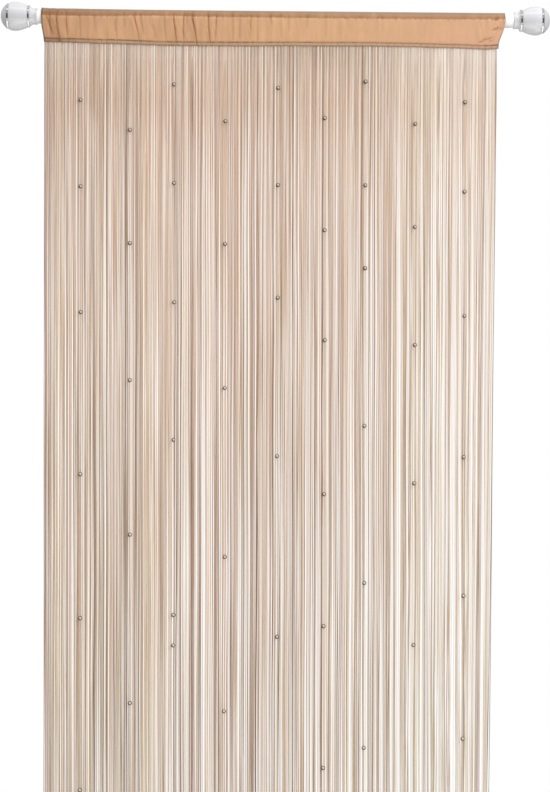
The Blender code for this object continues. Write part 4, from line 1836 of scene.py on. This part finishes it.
@dataclass
class BeadedStrings:
    """The nine strings that carry beads, hung a little in front of the others."""

    plain: StringField
    bead: Bead = field(default_factory=Bead)
    stand_off: float = 5.0 * MM
    radius: float = 0.55 * MM
    levels: int = 60
    solid_pitch: float = 3.0 * MM
    sways: tuple[tuple[float, float], ...] = ((0.9, 0.2 * MM), (2.1, 0.5 * MM))
    seed: int = 31

    def _line(self, column: float, first_bead: float, phases: np.ndarray) -> np.ndarray:
        """Centre line of one string, which hangs at the nearest strand of the solid.

        Args:
            column: its place along the rod.
            first_bead: how far below the axis its first bead sits.
            phases: phase of each of its sways.

        Returns:
            Points by level and axis.
        """
        strand = round((column - self.plain.left) / self.solid_pitch - 0.5)
        place = self.plain.left + self.solid_pitch * (strand + 0.5)
        hem = float(hem_drop(np.array(place)))
        root = hem - self.plain.root_depth
        drop = np.linspace(root, self.plain.drop, self.levels)
        below = np.maximum(drop - root - self.plain.root_depth, 0.0)
        sway = np.zeros_like(drop)
        for (length, reach), phase in zip(self.sways, phases):
            sway += reach * np.sin(FULL_TURN * drop / length + phase)
        x = place + self.plain.drifted(np.full_like(drop, place), drop) + sway * smooth_step(below / 0.2)
        y = -self.stand_off * smooth_step(below / (first_bead - root - 0.02))
        return np.stack([x, y, -drop], axis=-1)

    def build(self, finishes: Finishes) -> list[Object]:
        """Build the strings and their beads.

        Args:
            finishes: the materials.

        Returns:
            The strings' piece and the beads' piece.
        """
        rng = np.random.default_rng(self.seed)
        lines, places = [], []
        for column, drops in BEADED_STRINGS:
            line = self._line(column * MM, drops[0] * MM, rng.uniform(0.0, FULL_TURN, len(self.sways)))
            lines.append(line)
            for drop in drops:
                x, y = (np.interp(drop * MM, -line[:, 2], line[:, axis]) for axis in (0, 1))
                places.append((x, y, -drop * MM))
        lines = np.array(lines)
        sides = self.plain.sides
        points, faces = tubes(lines, np.full(lines.shape[:2], self.radius), sides)
        tones = np.repeat(rng.uniform(0.35, 0.75, len(lines)), self.levels * sides)
        values = {"tone": tones, "hue": np.full(len(tones), 0.5)}
        piece = Piece("beaded_strings", Slot.STRING, ("strings",))
        strings = piece.make(points, faces, finishes.yarn, values)
        return [strings, self._beads(places, rng, finishes)]

    def _beads(self, places: list, rng: np.random.Generator, finishes: Finishes) -> Object:
        """Build all the beads as one piece.

        Args:
            places: the beads' centres.
            rng: source of their slightly different sizes.
            finishes: the materials.

        Returns:
            The beads.
        """
        one, quads, dark = self.bead.mesh()
        points = [one * rng.uniform(0.96, 1.04) + np.array(place) for place in places]
        starts = np.arange(len(places))[:, None, None] * len(one)
        faces = (quads + starts).reshape(-1, 4).tolist()
        piece = Piece("beads", Slot.BEAD, ("strings",), math.radians(50.0))
        # dark: the painted shade of each bead
        return piece.make(np.vstack(points), faces, finishes.bead, {"dark": np.tile(dark, len(places))})


@dataclass
class Studio:
    """Camera, soft light, surroundings and the pale floor."""

    camera_place: tuple[float, float, float] = (-0.0066, -4.0, -0.6894)
    pitch: float = math.radians(-0.883)
    yaw: float = math.radians(0.172)
    roll: float = math.radians(0.489)
    lens: float = 91.1
    mirrored_behind: Colour = (0.62, 0.62, 0.63)
    floor_gap: float = 22.0 * MM
    floor_radius: float = 1.7
    floor_steps: int = 64
    floor_colour: Colour = (0.80, 0.795, 0.79)
    floor_roughness: float = 0.6

    def set_camera(self) -> None:
        """Place the camera at the photograph's viewing angle."""
        data = bpy.data.cameras.new("camera")
        data.sensor_width = 36.0
        data.lens = self.lens
        camera = bpy.data.objects.new("camera", data)
        bpy.context.scene.collection.objects.link(camera)
        level = math.cos(self.pitch)
        ahead = Vector((math.sin(self.yaw) * level, math.cos(self.yaw) * level, math.sin(self.pitch)))
        camera.rotation_mode = "QUATERNION"
        camera.location = self.camera_place
        camera.rotation_quaternion = ahead.to_track_quat("-Z", "Y") @ Quaternion((0.0, 0.0, 1.0), self.roll)
        bpy.context.scene.camera = camera

    def set_surroundings(self) -> None:
        """White all round for the camera, a soft gradient for the light, and a dark band for reflections."""
        world = bpy.data.worlds.new("studio")
        world.use_nodes = True
        bpy.context.scene.world = world
        nodes = NodeTree(world.node_tree)
        direction = nodes.add("TexCoord").outputs["Generated"]
        _, back, up = nodes.add("SeparateXYZ", {0: direction}).outputs
        height = nodes.math("MULTIPLY", nodes.math("ADD", up, 1.0), 0.5)
        ahead = nodes.ramp(height, MIRRORED_AHEAD)
        mirrored = nodes.blend("MIX", nodes.remap(back, -0.2, 0.1), ahead, (*self.mirrored_behind, 1.0))
        path = nodes.add("LightPath").outputs
        unseen = nodes.blend("MIX", path["Is Glossy Ray"], nodes.ramp(height, SKY), mirrored)
        colour = nodes.blend("MIX", path["Is Camera Ray"], unseen, (1.0, 1.0, 1.0, 1.0))
        nodes.feed(world.node_tree.nodes["Background"], {"Color": colour, "Strength": 1.0})

    def add_light(self, name: str, place: tuple, target: tuple, size: float, power: float) -> None:
        """Add one soft area light.

        Args:
            name: the light's name.
            place: where it stands.
            target: what it points at.
            size: side of its square panel.
            power: its power in watts.
        """
        data = bpy.data.lights.new(name, "AREA")
        data.size = size
        data.energy = power
        light = bpy.data.objects.new(name, data)
        light.location = place
        light.rotation_euler = (Vector(target) - Vector(place)).to_track_quat("-Z", "Y").to_euler()
        light.visible_glossy = False
        bpy.context.scene.collection.objects.link(light)

    def add_floor(self) -> None:
        """Lay the pale floor a little below the strings' ends."""
        height = CAD_BOX[0].z - self.floor_gap
        angles = np.arange(self.floor_steps) * FULL_TURN / self.floor_steps
        rim = [(self.floor_radius * math.cos(a), self.floor_radius * math.sin(a), height) for a in angles]
        mesh = bpy.data.meshes.new("floor")
        mesh.from_pydata(rim, [], [list(range(self.floor_steps))])
        floor = bpy.data.objects.new("floor", mesh)
        bpy.context.scene.collection.objects.link(floor)
        material = bpy.data.materials.new("pale_floor")
        material.use_nodes = True
        shader = material.node_tree.nodes["Principled BSDF"]
        shader.inputs["Base Color"].default_value = (*self.floor_colour, 1.0)
        shader.inputs["Roughness"].default_value = self.floor_roughness
        mesh.materials.append(material)

    def build(self) -> None:
        """Set the camera, the surroundings, the lights and the floor."""
        self.set_camera()
        self.set_surroundings()
        for row in LIGHTS:
            self.add_light(*row)
        self.add_floor()
        bpy.context.scene.view_settings.view_transform = "Standard"


def main() -> None:
    """Build the curtain's pieces in order."""
    logging.basicConfig(level=logging.INFO, format="%(name)s %(message)s")
    Studio().build()
    finishes = Finishes()
    rod = Rod().build(finishes)
    for side, (cap_ring, neck_ring) in RING_PLACES.items():
        Finial(side, cap_ring * MM, neck_ring * MM).build(finishes)
    pocket_maker = RodPocket()
    pocket, cloth = pocket_maker.build(finishes)
    stitches = Stitching().build(cloth, finishes)
    strings = StringField()
    hanging = strings.build(finishes) + BeadedStrings(strings).build(finishes)


if __name__ == "__main__":
    main()
